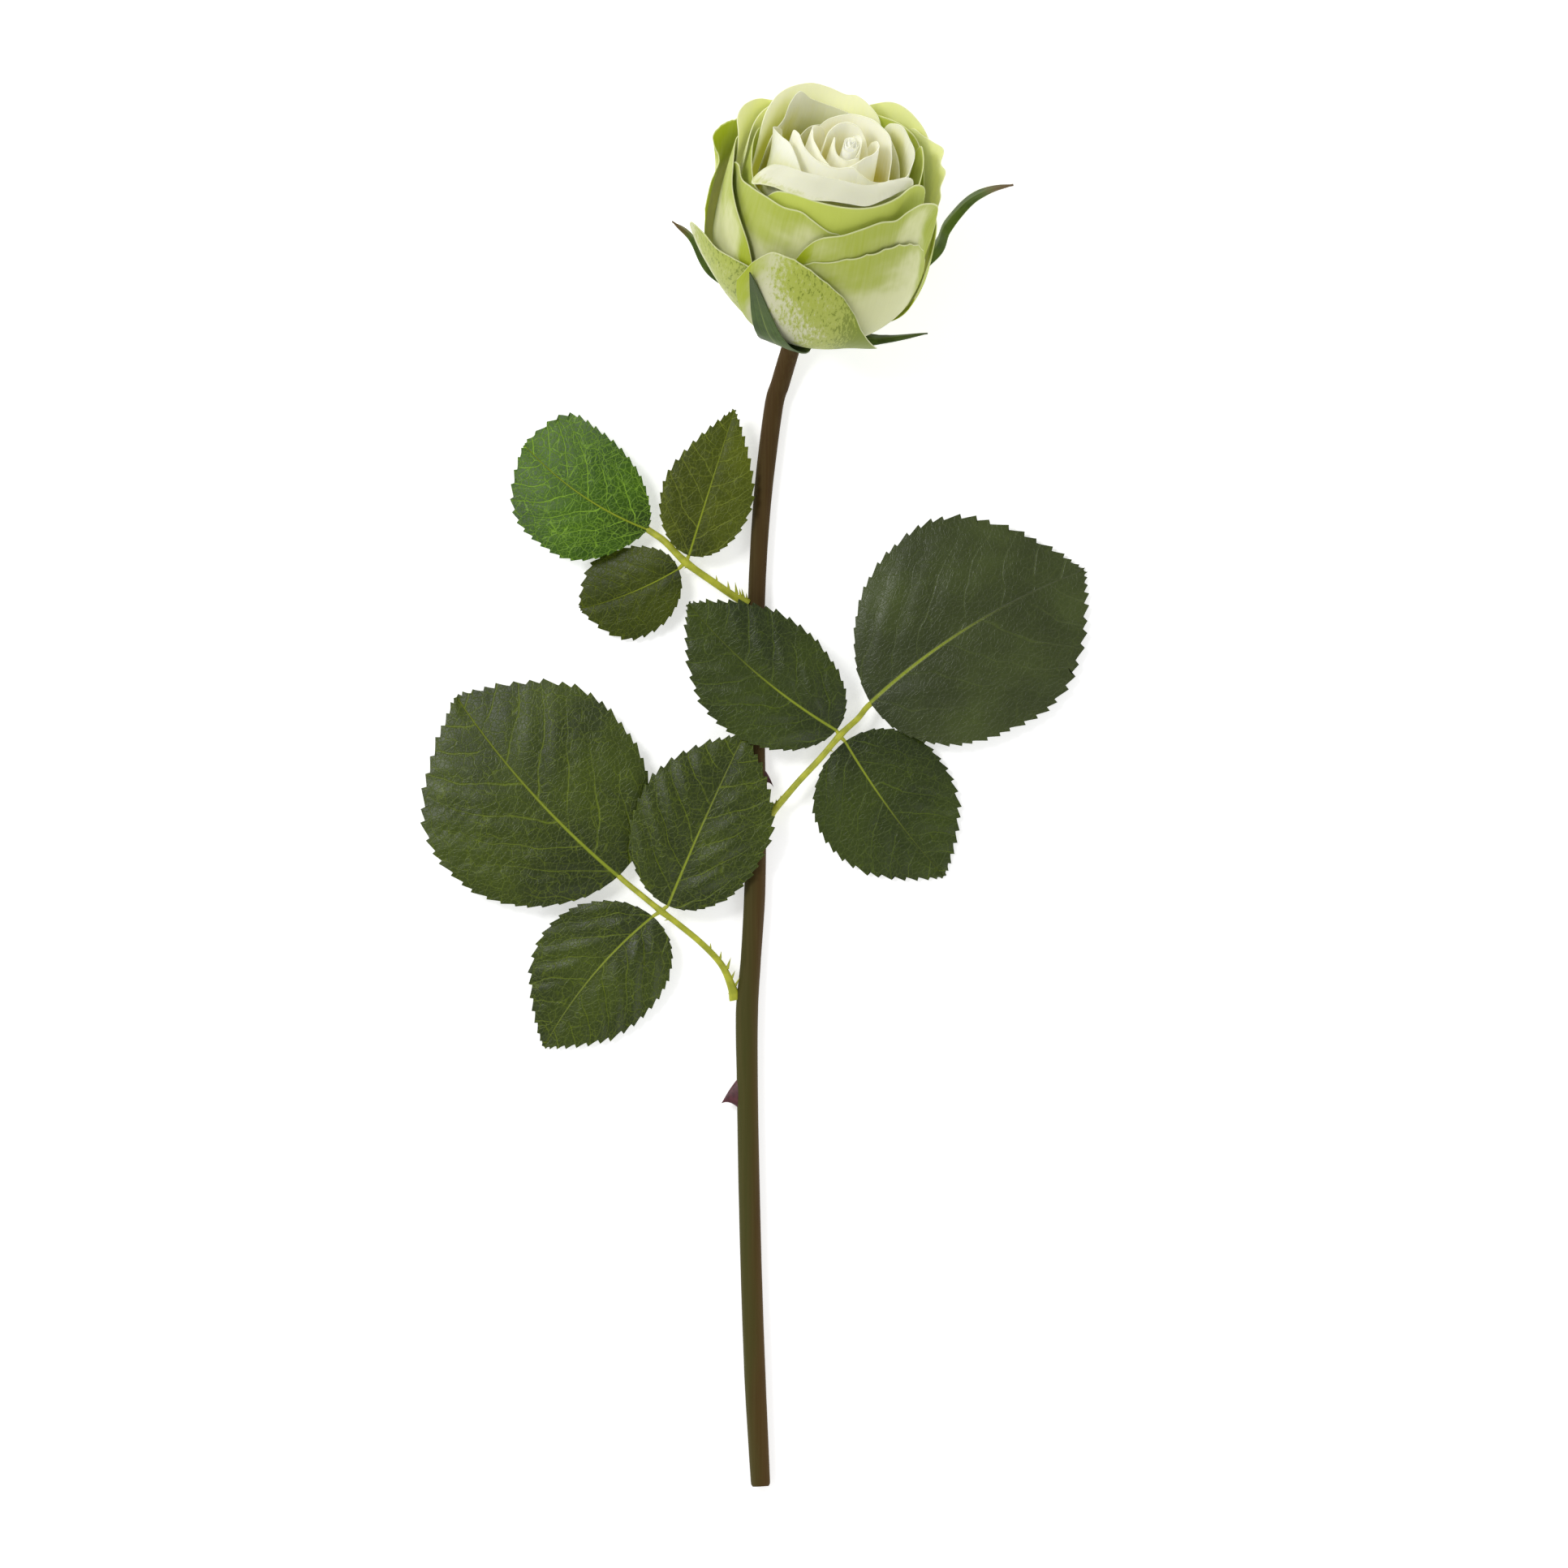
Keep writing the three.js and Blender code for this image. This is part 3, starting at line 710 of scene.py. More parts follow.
# %% Green material for sepals and receptacle
def green_paint(name, body, dark, tip):
    paint = Paint(name, 0.5)
    uv, across, along = paint.across_along()
    cloud = paint.noise(paint.place(), 160, 4)
    streak = paint.noise(paint.stretch(uv, 40, 2), 1.0, 3)
    base = paint.mix((cloud * 0.6 + streak * 0.4).above(0.35, 0.65), dark, body)
    vein = abs(across * 2 - 1).below(0.03, 0.1)
    base = paint.mix(vein * 0.5, base, srgb(132, 152, 66))
    brown = (along + (cloud - 0.5) * 0.3).above(0.72, 0.98)
    paint.colour(paint.mix(brown * 0.9, base, tip))
    paint.bump(streak * 0.7 + cloud * 0.3, 0.4, 0.5)
    return paint.material


SEPAL_PAINT = green_paint("sepal_green", srgb(78, 104, 34), srgb(50, 72, 18), srgb(58, 74, 24))
DRY_SEPAL_PAINT = green_paint("dry_sepal_green", srgb(88, 114, 38), srgb(60, 84, 22), srgb(104, 74, 48))
DRY_SEPALS = (2, 3)
HIP_PAINT = green_paint("hip_green", srgb(92, 112, 48), srgb(66, 84, 30), srgb(86, 96, 44))
print("greens:", [m.name for m in bpy.data.materials if "green" in m.name])

# %% [markdown]
# The receptacle is the knob that the petals grow from. It is round like a turned knob, so it
# is a rod whose radius follows a profile, with five faint ribs, one for each sepal.

# %% Receptacle
HIP_PROFILE = [(-9, 3.4), (-6, 4.2), (-2.4, 7.4), (-1, 8), (1, 7.85), (5, 6.2), (9, 4.6), (13, 3),
               (17.4, 1.35)]
RIB = 0.015


def receptacle():
    heights, radii = np.array(HIP_PROFILE).T
    foot = BLOOM_BASE + AXIS * heights[0]
    top = BLOOM_BASE + AXIS * heights[-1]

    def centre(v):
        return foot + np.outer(v, top - foot)

    def radius(v, turn):
        height = heights[0] + (heights[-1] - heights[0]) * v
        size = np.interp(height, heights, radii) * (1 + RIB * np.cos(5 * turn))
        return size, size

    return rod("receptacle_hip", 40, 36, centre, radius)


finish(receptacle(), "receptacle", HIP_PAINT)

# %% [markdown]
# Each sepal is a narrow blade. Its midline runs through points of distance from the axis and
# height, so that it can curl away from the bloom, and its two sides fold up a little.

# %% Sepals
SEPAL_THICKNESS = 0.45
NARROWEST_SEPAL = 0.25
SEPALS = [
    dict(angle=270, lean=-28, width=23, fold=0.5,
         line=[[8.8, 0], [25.7, 4.2], [38.8, 17.4], [43.2, 42]]),
    dict(angle=178, lean=1, width=8.5, fold=1.2,
         line=[[8.8, 0], [23, 1.5], [35.5, 7], [44.5, 18], [53, 22.6]]),
    dict(angle=32, lean=-12, width=9.5, fold=1.4,
         line=[[8.8, 0], [28, 4.5], [45, 24.5], [47, 38], [52, 51], [58, 59.1], [66, 65.6]]),
    dict(angle=340, lean=0, width=11, fold=0.8,
         line=[[8.8, 0], [24, 3.2], [34, 9.3], [48.5, 20.9]]),
    dict(angle=102, lean=0, width=13, fold=0,
         line=[[8.8, 0], [25.7, 4.2], [38.2, 16.6], [43.8, 33]]),
]


def sepal(number, angle, lean, width, fold, line):
    midline = route([[r, 0, z] for r, z in line])

    def place(u, v):
        middle = midline(v)
        half = np.maximum(width * 0.31 * (1 - v) ** 0.8 * (1 + 1.6 * v), NARROWEST_SEPAL)
        half = half * (1 + 0.04 * ripple(v * 6, 0 * u, number))
        radius = middle[:, 0] + fold * np.abs(u) ** 1.5 * np.sin(v * math.pi)
        around = np.radians(angle + lean * v * v) + half * u / middle[:, 0]
        x = radius * np.cos(around) - drift(middle[:, 2])
        height = middle[:, 2] + 0.25 * ripple(u, v * 3, number + 20) * step(v, 0, 0.3)
        return to_world(x, radius * np.sin(around), height)

    return blade(f"sepal_blade_{number}", 12, 48, place, SEPAL_THICKNESS)


for number, shape in enumerate(SEPALS, 1):
    paint = DRY_SEPAL_PAINT if number in DRY_SEPALS else SEPAL_PAINT
    finish(sepal(number, **shape), f"sepal_{number}", paint)

# %% [markdown]
# ## Stem
#
# The stem is a moulded rod with faint lengthwise ridges. It is olive on one side and brown on
# the other, it swells where a leaf leaves it, and its cut end is flat with a softened corner.

# %% Stem material
def stem_paint():
    paint = Paint("stem_skin", 0.72)
    place = paint.place()
    x, y = paint.split(place)
    streak = paint.noise(paint.stretch(place, 900, 14, 900), 1.0, 4)
    blotch = paint.noise(paint.stretch(place, 120, 22, 120), 1.0, 3)
    right = (x + (blotch - 0.5) * 0.006).above(-0.005, 0.003)
    base = paint.mix(right, srgb(70, 69, 28), srgb(80, 58, 24))
    high = (y + (blotch - 0.5) * 0.04).above(-0.11, 0.02)
    base = paint.mix(high * 0.6, base, srgb(62, 45, 20))
    base = paint.mix(streak.above(0.35, 0.75) * 0.3, base, srgb(92, 80, 44))
    base = paint.mix(blotch.above(0.55, 0.8) * 0.3, base, srgb(50, 35, 16))
    paint.colour(base)
    paint.bump(streak, 0.25, 0.6)
    paint.set({"Specular IOR Level": 0.15})
    return paint.material


STEM_PAINT = stem_paint()
print("stem skin:", len(STEM_PAINT.node_tree.nodes), "nodes")

# %% [markdown]
# The stem could be a curve with a bevel, but its section changes all the way: it swells, has
# ridges and ends in a softened corner. So it is a rod. Its axis follows stations measured
# along the table, and then an arc that carries it up to the bloom.

# %% Stem shape
# Each station is x, y and radius, from the cut end.
STATIONS = [
    [1.4, -250.4, 3.5], [0.4, -232, 3.7], [-0.6, -212, 3.85], [-1.9, -177, 3.85], [-2.8, -143, 3.85],
    [-3.4, -108, 3.8], [-3.6, -81, 4.05], [-2.2, -62, 3.65], [-0.8, -38, 3.85], [-0.4, -9, 3.7],
    [-0.6, 14, 3.55], [-0.6, 40, 3.3], [-0.1, 66, 3.1], [0.7, 84, 3.15], [1.9, 101, 3.25],
    [3.6, 117, 3.35],
]
STEM_LIFT = 0.1
NECK_RADIUS = 3.4
NECK_LENGTH = 9.3
NECK_SHARES = (0, 0.25, 0.5, 0.75, 1)
SKIN_GAP = 0.04
CUT_CHAMFER, CUT_CHAMFER_LENGTH = 0.16, 0.0012


def stem_line():
    """The stem's axis, from the cut end along the table and up the neck, and its radii."""
    top = BLOOM_BASE - AXIS * NECK_LENGTH
    foot_height = STATIONS[-1][2] + STEM_LIFT
    bend = (top[2] - foot_height) / (1 - math.cos(ELEVATION))
    heading = np.array([math.sin(TURN), math.cos(TURN), 0])
    points = [[x, y, r + STEM_LIFT] for x, y, r in STATIONS]
    for share in NECK_SHARES:
        tilt = ELEVATION * share
        run = bend * (math.sin(ELEVATION) - math.sin(tilt))
        drop = bend * (math.cos(tilt) - math.cos(ELEVATION))
        points.append(top - heading * run - np.array([0, 0, drop]))
    radii = [r for _, _, r in STATIONS] + [NECK_RADIUS] * len(NECK_SHARES)
    return points, radii


def stem():
    points, radii = stem_line()
    centre = route(points)
    knots = np.linspace(0, 1, len(radii))

    def radius(v, turn):
        ridge = 1 + 0.01 * np.sin(7 * turn + 9 * v) + 0.006 * ripple(turn / 3, v * 40, 5)
        end = 1 - CUT_CHAMFER * np.exp(-v / CUT_CHAMFER_LENGTH)
        size = np.interp(v, knots, radii) * ridge * end - SKIN_GAP
        return size, size

    return rod("stem_rod", 32, 420, centre, radius)


finish(stem(), "stem", STEM_PAINT)

# %% [markdown]
# ## Thorns
#
# A thorn is a flattened cone that hooks down towards the cut end, burgundy and a little shiny.
# A cone primitive has a round foot, and a thorn's foot is a long ridge on the stem, so a bent
# grid makes it: it narrows towards the tip, and the tip is drawn down the stem by v squared.

# %% Thorns
def thorn_paint():
    paint = Paint("thorn_skin", 0.5)
    cloud = paint.noise(paint.place(), 700, 3)
    paint.colour(paint.mix(cloud.above(0.35, 0.7), srgb(92, 44, 50), srgb(66, 30, 36)))
    paint.bump(cloud, 0.1, 0.5)
    return paint.material


THORNS = [
    dict(foot=(-6.4, -109.8, 4.4), tip=(-12.6, -113.4, 4.6), along=11, thick=2.8),
    dict(foot=(2.4, 3.4, 4.4), tip=(6, -0.4, 4.8), along=5.4, thick=2),
]


def thorn(number, foot, tip, along, thick):
    foot, tip = np.array(foot), np.array(tip)
    side = math.copysign(1, tip[0] - foot[0])

    def place(u, v):
        turn = u * math.pi
        taper = (1 - v) ** 1.15 + 0.02
        centre = foot + np.outer(v, tip - foot)
        centre[:, 1] = foot[1] + (tip[1] - foot[1]) * v ** 2
        centre[:, 1] += -side * along / 2 * taper * np.sin(turn)
        centre[:, 2] += thick / 2 * taper * np.cos(turn)
        return centre

    piece = bent_grid(f"thorn_hook_{number}", 20, 14, place)
    seal(THORN_MERGE)
    bpy.ops.object.shade_smooth_by_angle(angle=BLADE_CREASE)
    return piece


print(len(THORNS), "thorns")
THORN_PAINT = thorn_paint()
for number, shape in enumerate(THORNS, 1):
    finish(thorn(number, **shape), f"thorn_{number}", THORN_PAINT)

# %% [markdown]
# ## Petioles
#
# A petiole is a thin yellow-green stalk. At its foot it widens into a stipule with a row of
# small prickles, and at the joint two short stubs carry the side leaflets.

# %% Petiole material
def petiole_paint():
    paint = Paint("petiole_skin", 0.5)
    place = paint.place()
    cloud = paint.noise(place, 300, 4)
    fine = paint.noise(place, 1500, 2)
    paint.colour(paint.mix(cloud.above(0.3, 0.7), srgb(184, 187, 48), srgb(152, 158, 34)))
    paint.bump(fine, 0.1, 0.5)
    return paint.material


PETIOLE_PAINT = petiole_paint()
print("petiole skin:", len(PETIOLE_PAINT.node_tree.nodes), "nodes")

# %% Petioles' lines
PETIOLES = {
    "lower_left": dict(
        line=[[-7.9, -76.5, 4.6], [-8.9, -72, 5.2], [-12.6, -64, 7], [-19.6, -56.4, 8.4],
              [-28.3, -49.2, 8.6], [-34.9, -44.2, 8.2], [-41.3, -39, 7.4], [-47.4, -34, 6.2],
              [-52, -29.6, 5.2]],
        joint=(-34.2, -44.7, 8.2), prickle_side=1, prickle_spread=1.35, thick=1.08, prickles=1.15),
    "right": dict(
        line=[[3.9, -11.5, 4.6], [5.6, -9, 5.2], [9.4, -4.8, 6.2], [15.2, 1.9, 7.4], [22.5, 9.7, 8],
              [30, 18.4, 8], [36, 24, 7.4], [39.4, 28.2, 6.2], [43.2, 31.4, 5.4]],
        joint=(29.6, 18, 8), prickle_side=-1, prickle_spread=1, thick=1.12, prickles=0.45),
    "upper_left": dict(
        line=[[-3.6, 64.9, 4.4], [-5.2, 66, 5], [-8, 67.7, 5.8], [-15.2, 72.6, 7.2],
              [-25.4, 79.9, 7.8], [-32.6, 87.1, 7], [-37.4, 90.6, 6], [-41.6, 93.2, 5.2]],
        joint=(-25.4, 79.9, 7.8), prickle_side=1, prickle_spread=1.7, thick=1.3, prickles=1.2),
}
print({name: round(float(np.linalg.norm(np.diff(shape["line"], axis=0), axis=1).sum()), 1)
       for name, shape in PETIOLES.items()}, "mm long")

# %% [markdown]
# Prickles are small cones set along one side of the stipule, each leaning towards the leaf,
# with two single ones on the other side. They are joined with the stalk and its two stubs
# into one piece, as they are one moulding.

# %% Spikes and petioles
PETIOLE_RADIUS, STIPULE_RADIUS, STIPULE_LENGTH = 1.05, 1.9, 0.16
SPIKE_TIP = 0.02
# Each prickle is its place along the petiole and its length in millimetres.
PRICKLES = [(0.05, 1.8), (0.095, 2.8), (0.13, 2.4), (0.165, 3.6), (0.205, 2.4), (0.25, 1.6)]
LONE_PRICKLES = (0.05, 0.55)


def spike(foot, tip, size):
    """A small cone from foot to tip."""
    foot, tip = np.array(foot), np.array(tip)
    run = tip - foot
    bpy.ops.object.select_all(action="DESELECT")
    bpy.ops.mesh.primitive_cone_add(vertices=8, radius1=size * MM, radius2=SPIKE_TIP * MM,
                                    depth=np.linalg.norm(run) * MM, location=(foot + tip) / 2 * MM)
    cone = bpy.context.object
    flat = math.atan2(run[1], run[0])
    steep = math.atan2(math.hypot(run[0], run[1]), run[2])
    cone.rotation_euler = (0, steep, flat)
    bpy.ops.object.transform_apply(location=True, rotation=True, scale=True)
    bpy.ops.object.shade_smooth_by_angle(angle=BLADE_CREASE)
    return cone


def flare_at(v):
    """How much thicker the stipule makes the petiole."""
    return (STIPULE_RADIUS - PETIOLE_RADIUS) * np.exp(-(v / STIPULE_LENGTH) ** 2)


def petiole(name, line, joint, prickle_side, prickle_spread, thick, prickles, feet):
    centre = route(line)
    v_line = np.linspace(0, 1, AXIS_SAMPLES)
    node_at = v_line[np.argmin(np.linalg.norm(centre(v_line) - joint, axis=1))]

    def radius(v, turn):
        flare = flare_at(v)
        size = PETIOLE_RADIUS * thick * (1.05 - 0.2 * v)
        swell = 0.2 * np.exp(-((v - node_at) / 0.03) ** 2)
        groove = 1 - 0.12 * np.exp(-(turn / 0.5) ** 2)
        return (size + flare * 0.9 + swell) * groove, (size * 0.9 + flare * 0.5 + swell) * groove

    parts = [rod(f"{name}_stalk", 16, 90, centre, radius)]
    for foot in feet:
        middle = (np.array(joint) + np.array(foot)) / 2
        stub_line = route([joint, middle, foot])
        parts.append(rod("stub", 10, 8, stub_line, lambda v, turn: (0.85 - 0.2 * v, 0.75 - 0.2 * v)))

    def aside(place):
        """The axis here, which way it runs, and the prickles' side."""
        here, ahead = centre(np.array([place, place + 0.02]))
        run = (ahead - here) / np.linalg.norm(ahead - here)
        return here, run, np.array([run[1], -run[0], 0]) * prickle_side

    for place, length in PRICKLES:
        length *= prickles
        here, run, out = aside(place * prickle_spread)
        skin = here + out * (PETIOLE_RADIUS * thick + flare_at(place * prickle_spread)) * 0.85
        tip = skin + out * length * 0.8 + run * length * 0.7
        parts.append(spike(skin, tip, 0.25 + 0.1 * length))
    for place in LONE_PRICKLES:
        here, run, out = aside(place)
        parts.append(spike(here - out * 0.6, here - out * 2.2 + run * 0.9 * prickles, 0.4))
    return join(parts)


# %% [markdown]
# ## Leaflets
#
# A leaflet is a broad oval sheet with a saw-toothed edge, quilted between its side veins. The
# veins are in the material, and the swellings between them are in the shape, so both count
# them with the same numbers: how many there are, how far the right half's are shifted, and a
# shift that makes each leaflet's own. The material finds its place by the "blade" layer,
# whose x runs across the leaflet and whose y runs from foot to tip.
#
# One side vein is a line where a phase passes a whole number. Forks are a second, finer set
# that starts away from the midrib, and two sizes of irregular cells make the net.

# %% Leaf material
SIDE_VEINS = 6
HALF_SHIFT = 0.07
OWN_SHIFT = 0.31


def leaf_paint(name, green, dark, vein, strength, rib_tip, shine, seed):
    paint = Paint(name, 0.42)
    uv = paint.node("ShaderNodeUVMap", {"uv_map": "blade"}, {})
    across, along = paint.split(uv)
    side = across - 0.5
    off = abs(side)
    bend = paint.noise(uv, 2.1 + 0.1 * seed, 2)
    kink = paint.noise(uv, 14, 2)
    sway = paint.noise(uv, 5, 1)
    run = along - off * 0.8 - off * off
    run = run + (bend - 0.5) * 0.14 + (sway - 0.5) * 0.1 + (kink - 0.5) * 0.025
    run = run + side.above(-0.001, 0.001) * HALF_SHIFT + seed * OWN_SHIFT
    fade = off.below(0.14, 0.44) * (kink + sway).above(0.6, 1.1)
    lateral = vein_line(paint, run * SIDE_VEINS, 0.045) * fade
    fork = vein_line(paint, run * (2 * SIDE_VEINS) + 0.5 + (kink - 0.5) * 1.2, 0.06)
    fork = fork * off.above(0.12, 0.26) * fade
    midrib = (off + along * 0.006).below(0.004, 0.0105)
    skin = paint.place()
    wobble = paint.noise(skin, 150, 2)
    net_at = paint.node("ShaderNodeVectorMath", {"operation": "MULTIPLY_ADD"},
                        {0: paint.node("ShaderNodeCombineXYZ", {}, {0: wobble, 1: wobble}),
                         1: (0.004, 0.004, 0), 2: skin})
    net = cracks(paint, net_at, 620).below(0.0, 0.09)
    web = cracks(paint, net_at, 230).below(0.0, 0.045)
    cloud = paint.noise(skin, 42, 4)
    grain = paint.noise(skin, 1400, 3)
    base = paint.mix(cloud.above(0.3, 0.7), dark, green)
    # Painted shade: the leaflet is darkened near its foot along the midrib, where it dips into a valley.
    painted_valley_shade = along.below(0.04, 0.45) * off.below(0.0, 0.3) * bend.above(0.2, 0.6)
    base = paint.mix(painted_valley_shade * 0.6, base, srgb(22, 32, 4))
    base = paint.mix(net * (0.1 + 0.3 * bend) * strength, base, vein)
    base = paint.mix(web * 0.7 * kink * strength, base, vein)
    base = paint.mix((lateral * 0.65 + fork * 0.45) * strength, base, vein)
    bright = midrib * (rib_tip + (0.95 - rib_tip) * along.below(0.25, 0.7))
    base = paint.mix(bright, base, srgb(142, 156, 34))
    paint.colour(base)
    paint.feed(paint.shader.inputs["Roughness"], 0.3 + grain * 0.16)
    paint.set({"Specular IOR Level": shine})
    relief = grain * 0.3 - net * 0.15 - web * 0.15 - lateral * 0.6 - midrib * 0.8 + cloud * 0.8
    paint.bump(relief, 0.4, 0.7)
    return paint.material


def vein_line(paint, phase, half_width):
    """1 on thin lines, one for each whole number that phase passes."""
    saw = paint.node("ShaderNodeMath", {"operation": "PINGPONG"}, {0: phase, 1: 0.5})
    return saw.below(half_width * 0.25, half_width)


def cracks(paint, vector, scale):
    """Distance to the nearest edge of some irregular cells."""
    settings = {"feature": "DISTANCE_TO_EDGE"}
    return paint.node("ShaderNodeTexVoronoi", settings, {"Vector": vector, "Scale": scale})


LEAF_TONES = {
    "mid": (srgb(60, 74, 4), srgb(40, 52, 2), srgb(126, 144, 18), 0.62, 0.6, 0.36),
    "cool": (srgb(64, 76, 26), srgb(48, 58, 14), srgb(96, 112, 30), 0.3, 0.05, 0.45),
    "dark": (srgb(52, 66, 3), srgb(32, 44, 2), srgb(104, 124, 12), 0.5, 0.2, 0.38),
    "fresh": (srgb(66, 100, 12), srgb(44, 74, 6), srgb(142, 184, 50), 1.15, 0.9, 0.25),
    "olive": (srgb(84, 94, 8), srgb(62, 72, 4), srgb(136, 148, 44), 0.75, 0.7, 0.25),
    "olive_dark": (srgb(64, 75, 2), srgb(46, 56, 2), srgb(118, 132, 12), 0.65, 0.6, 0.25),
}
print("leaf tones:", ", ".join(LEAF_TONES))

# %% Leaflets' outlines
LEAFLETS = {
    "lower_left_end": dict(
        foot=(-49.6, -32.3, 6.2), tip=(-107.4, 31.8, 0.6), width=80, widest=0.5, bow=3,
        arch=4, fall=1.6, teeth=27, point=2.4, tone="mid"),
    "lower_left_inner": dict(
        foot=(-31.8, -42.8, 8.9), tip=(-4.6, 18.4, 9.4), width=48.5, widest=0.48, bow=0.5,
        arch=1.6, fall=0.8, teeth=23, point=2.1, tone="mid"),
    "lower_left_outer": dict(
        foot=(-37.2, -46.6, 7.6), tip=(-76.1, -93.2, 0.6), width=46, widest=0.43, bow=-3,
        arch=1.2, fall=1.8, teeth=22, point=2.2, tone="mid"),
    "right_end": dict(
        foot=(40.6, 29.8, 6.4), tip=(117, 77, 0.6), width=79, widest=0.52, bow=4.5,
        arch=4.2, fall=2.6, teeth=29, point=2.2, quilt=1.1, tone="cool"),
    "right_inner": dict(
        foot=(28.4, 19.9, 8.8), tip=(-24.5, 65, 13.4), width=44.5, widest=0.46, bow=3,
        arch=1.4, fall=1, teeth=24, point=2.2, tone="dark"),
    "right_outer": dict(
        foot=(31.5, 15.9, 7.6), tip=(66.8, -32.3, 0.6), width=50, widest=0.42, bow=-1.5,
        arch=0.9, fall=2.6, teeth=22, point=2.3, quilt=1.4, tone="dark"),
    "upper_left_end": dict(
        foot=(-39, 91.6, 6.2), tip=(-83.1, 121.9, 0.6), width=44.5, widest=0.5, bow=3.2,
        arch=3.6, fall=0.4, teeth=21, point=5.2, quilt=0.5, skew=0.09, foot_power=0.75,
        tone="fresh"),
    "upper_left_inner": dict(
        foot=(-24.3, 82.4, 8.6), tip=(-8.1, 134.4, 8.4), width=32.5, widest=0.43, bow=0,
        arch=2, fall=0.6, teeth=20, point=1.45, quilt=0.4, tone="olive"),
    "upper_left_outer": dict(
        foot=(-28, 77.6, 6.8), tip=(-63.1, 63.4, 0.6), width=32, widest=0.54, bow=1.5,
        arch=0.8, fall=1.4, teeth=15, point=2.6, quilt=0.4, tone="olive_dark"),
}
print(sum(2 * shape["teeth"] for shape in LEAFLETS.values()), "teeth on", len(LEAFLETS), "leaflets")

# %% [markdown]
# The edge is a smooth oval first, and saw teeth are added across it, pointing to the tip. Each
# tooth rises slowly and drops at once. Rows are spaced by the cosine of v, so that they stay
# even round both rounded ends, with six rows to a tooth. The blade arches along its length,
# falls off towards both sides, and dips at the midrib.

# %% Leaflet shape
LEAF_THICKNESS = 0.45
LEAF_COLUMNS = 24
TOOTH_HEIGHT = 1.15
ROWS_PER_TOOTH = 6
NARROWEST_LEAF = 0.45


def leaflet(name, foot, tip, width, widest, bow, arch, fall, teeth, point, seed, quilt=2, skew=0,
            foot_power=0.52):
    start, run = np.array(foot), np.array(tip) - np.array(foot)
    length = math.hypot(run[0], run[1])
    forward = np.array([run[0], run[1]]) / length
    left = np.array([-forward[1], forward[0]])
    layout = {}

    def edge(s, hand):
        """The plain outline in the blade's plane, for s from 0 to 1: across and along."""
        v = (1 - np.cos(math.pi * s)) / 2
        belly = widest + skew * hand
        before = np.clip((belly - v) / belly, 0, 1)
        after = np.clip((v - belly) / (1 - belly), 0, 1)
        full = (1 - before ** 2.1) ** foot_power * (1 - after ** point)
        half = np.maximum(width / 2 * full, NARROWEST_LEAF)
        half = half * (1 + 0.02 * ripple(s * 2, 0 * s, seed + hand))
        return half, v * length

    def teeth_at(u, s):
        """How far a tooth pushes the edge out here, and the edge's own direction."""
        ahead, behind = edge(np.minimum(s + 1e-3, 1), 1), edge(np.maximum(s - 1e-3, 0), 1)
        slope = np.stack([ahead[0] - behind[0], ahead[1] - behind[1]], axis=1)
        slope /= np.linalg.norm(slope, axis=1)[:, None]
        ends = step(s, 0.03, 0.08) * (1 - step(s, 0.985, 1.0))
        size = TOOTH_HEIGHT * (0.75 + 0.5 * np.sin(math.pi * s)) * width ** 0.25 / 2.6
        rise = (s * teeth % 1) ** 1.3 - 0.2
        return rise * size * ends * step(np.abs(u), 0.93, 1), slope

    def quilting(u, v, off, hand):
        """The swelling between side veins."""
        phase = v - 0.85 * off - 0.8 * off ** 2 + np.where(hand > 0, HALF_SHIFT, 0)
        veins = np.abs(np.sin(math.pi * SIDE_VEINS * (phase + seed * OWN_SHIFT))) ** 0.8
        rim = step(np.abs(u), 0.05, 0.35) * (1 - 0.7 * step(np.abs(u), 0.75, 1))
        ends = step(v, 0.0, 0.2) * (1 - 0.8 * step(v, 0.45, 0.95))
        return quilt * (0.65 + 0.5 * ripple(u, v * 2, seed + 9)) * veins * rim * ends

    def place(u, s):
        hand = np.sign(u)
        half, along = edge(s, 1)
        half_left, _ = edge(s, -1)
        half = np.where(hand < 0, half_left, half)
        tooth, slope = teeth_at(u, s)
        across = half * np.abs(u) + tooth * slope[:, 1]
        along = along - tooth * slope[:, 0] + tooth * 0.5
        v = along / length
        hump = 4 * v * (1 - v)
        height = arch * hump - fall * (2 * across / width) ** 2
        height += quilting(u, v, across / length, hand)
        height += 0.35 * np.minimum(across / 2.5, 1)
        height += 0.5 * ripple(u * 0.7, v, seed + 3) * step(across / width, 0.1, 0.5)
        signed = across * hand
        layout["blade"] = np.stack([0.5 + signed / length, v], axis=1)
        flat = start[:2] + np.outer(v, run[:2]) + np.outer(bow * hump - signed, left)
        return np.column_stack([flat, start[2] + run[2] * v + height])

    piece = bent_grid(name, LEAF_COLUMNS, teeth * ROWS_PER_TOOTH, place)
    layer = piece.data.uv_layers.new(name="blade")
    corners = np.empty(len(piece.data.loops), int)
    piece.data.loops.foreach_get("vertex_index", corners)
    layer.data.foreach_set("uv", layout["blade"][corners].ravel())
    thicken(piece, LEAF_THICKNESS)
    return piece


# %% [markdown]
# Each petiole's stubs end where its two side leaflets start, so the leaflets' feet say where.

# %% Petioles and leaflets
for branch, shape in PETIOLES.items():
    feet = [LEAFLETS[f"{branch}_inner"]["foot"], LEAFLETS[f"{branch}_outer"]["foot"]]
    finish(petiole(branch, feet=feet, **shape), f"{branch}_petiole", PETIOLE_PAINT)
for seed, (name, shape) in enumerate(LEAFLETS.items(), 1):
    tone = shape.pop("tone")
    piece = leaflet(f"{name}_blade", seed=seed, **shape)
    paint = leaf_paint(f"{name}_green", *LEAF_TONES[tone], seed)
    finish(piece, f"{name}_leaflet", paint)

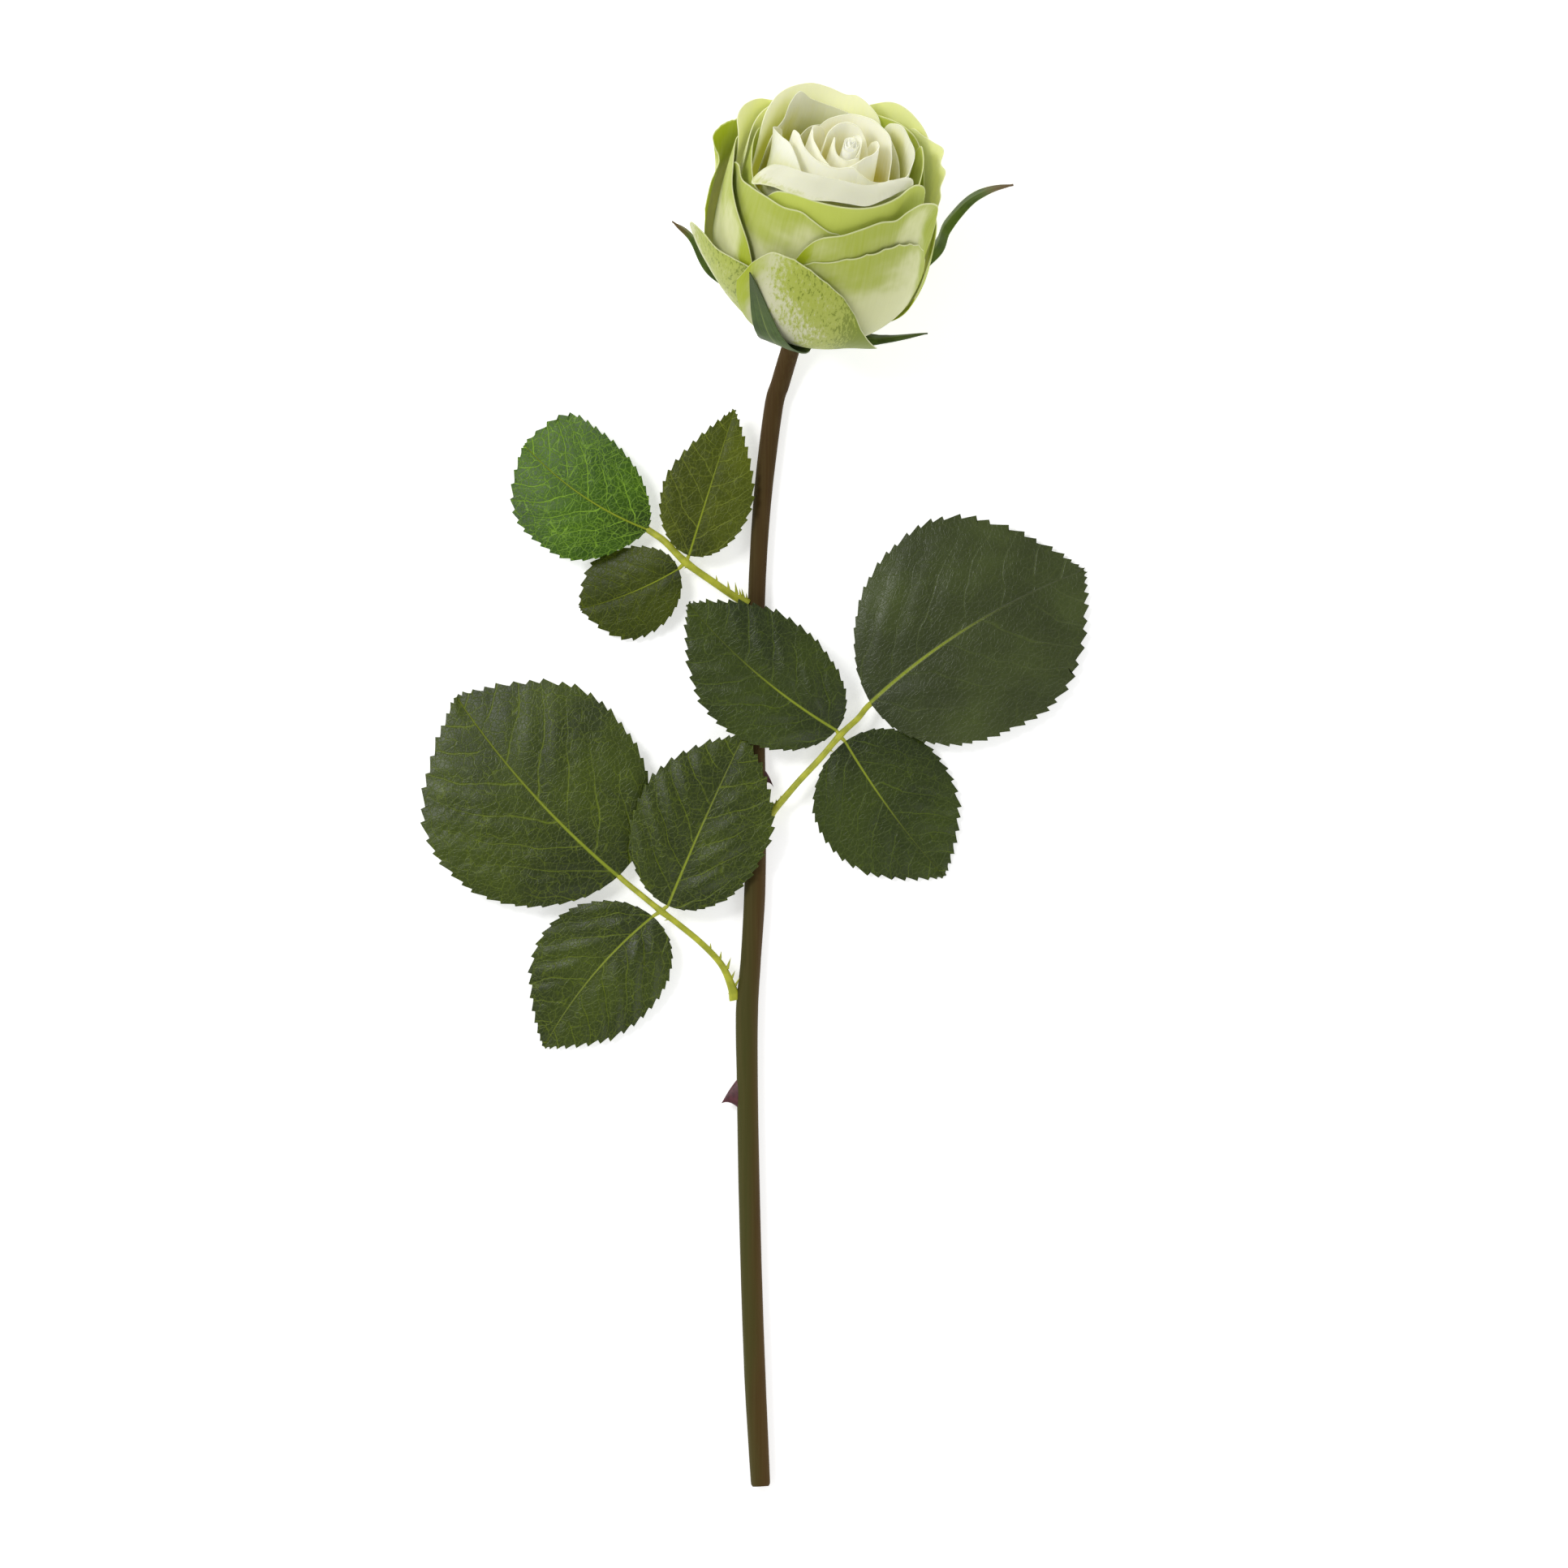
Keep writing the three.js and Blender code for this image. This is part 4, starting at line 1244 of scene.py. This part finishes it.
# %% [markdown]
# ## Table, light and camera
#
# The rose lies on a plain white table in even white light from all sides, stronger from the
# side than from above. A soft key lamp from the upper left and a weaker fill lamp from the
# lower right shape the petals. The camera looks straight down through a long lens, so that
# nothing is distorted.

# %% Table
bpy.ops.object.select_all(action="DESELECT")
FULL_WHITE = (1, 1, 1, 1)
TABLE_SIZE, TABLE_GAP = 6, 0.0003
bpy.ops.mesh.primitive_plane_add(size=TABLE_SIZE, location=(0, 0, -TABLE_GAP))
table = bpy.context.object
table.name = "table_top"
table_paint = Paint("table_white", 0.9)
table_paint.colour(srgb(250, 250, 250))
table_paint.set({"Emission Color": FULL_WHITE, "Emission Strength": 0.5})
table.data.materials.append(table_paint.material)

# %% Light
LEVEL_LIGHT, TOP_LIGHT = 0.95, 0.3
world = bpy.data.worlds.new("studio")
bpy.context.scene.world = world
world.use_nodes = True
tree = world.node_tree
direction = tree.nodes.new("ShaderNodeTexCoord")
split = tree.nodes.new("ShaderNodeSeparateXYZ")
tree.links.new(direction.outputs["Generated"], split.inputs[0])
height = tree.nodes.new("ShaderNodeMapRange")
height.inputs["To Min"].default_value = LEVEL_LIGHT
height.inputs["To Max"].default_value = TOP_LIGHT
tree.links.new(split.outputs[2], height.inputs["Value"])
tree.links.new(height.outputs[0], tree.nodes["Background"].inputs["Strength"])
tree.nodes["Background"].inputs["Color"].default_value = FULL_WHITE


def lamp(name, place, size, power):
    """A square soft light that shines at the origin."""
    bpy.ops.object.light_add(type="AREA", location=place)
    light = bpy.context.object
    light.name = name
    light.data.shape = "SQUARE"
    light.data.size = size
    light.data.energy = power
    x, y, z = place
    light.rotation_euler = (math.atan2(math.hypot(x, y), z), 0, math.atan2(y, x) + math.pi / 2)
    return light


for light in (lamp("key_light", (-1.0, 0.75, 1.6), 0.6, 16),
              lamp("fill_light", (0.9, -1.1, 1.3), 0.8, 5)):
    print(light.name, light.data.energy, "W")

# %% Camera
CAMERA_HEIGHT = 12.0
CAMERA_X, CAMERA_Y = 0.0097, 0.0007
VIEW_WIDTH, FOCUS_HEIGHT = 0.5603, 0.01
SENSOR = 36
bpy.ops.object.camera_add(location=(CAMERA_X, CAMERA_Y, CAMERA_HEIGHT), rotation=(0, 0, 0))
camera = bpy.context.object
camera.name = "overhead_camera"
camera.data.sensor_width = SENSOR
camera.data.lens = SENSOR * (CAMERA_HEIGHT - FOCUS_HEIGHT) / VIEW_WIDTH
camera.data.clip_end = 40
bpy.context.scene.camera = camera
bpy.context.scene.view_settings.view_transform = "Standard"
print("lens", round(camera.data.lens), "mm")
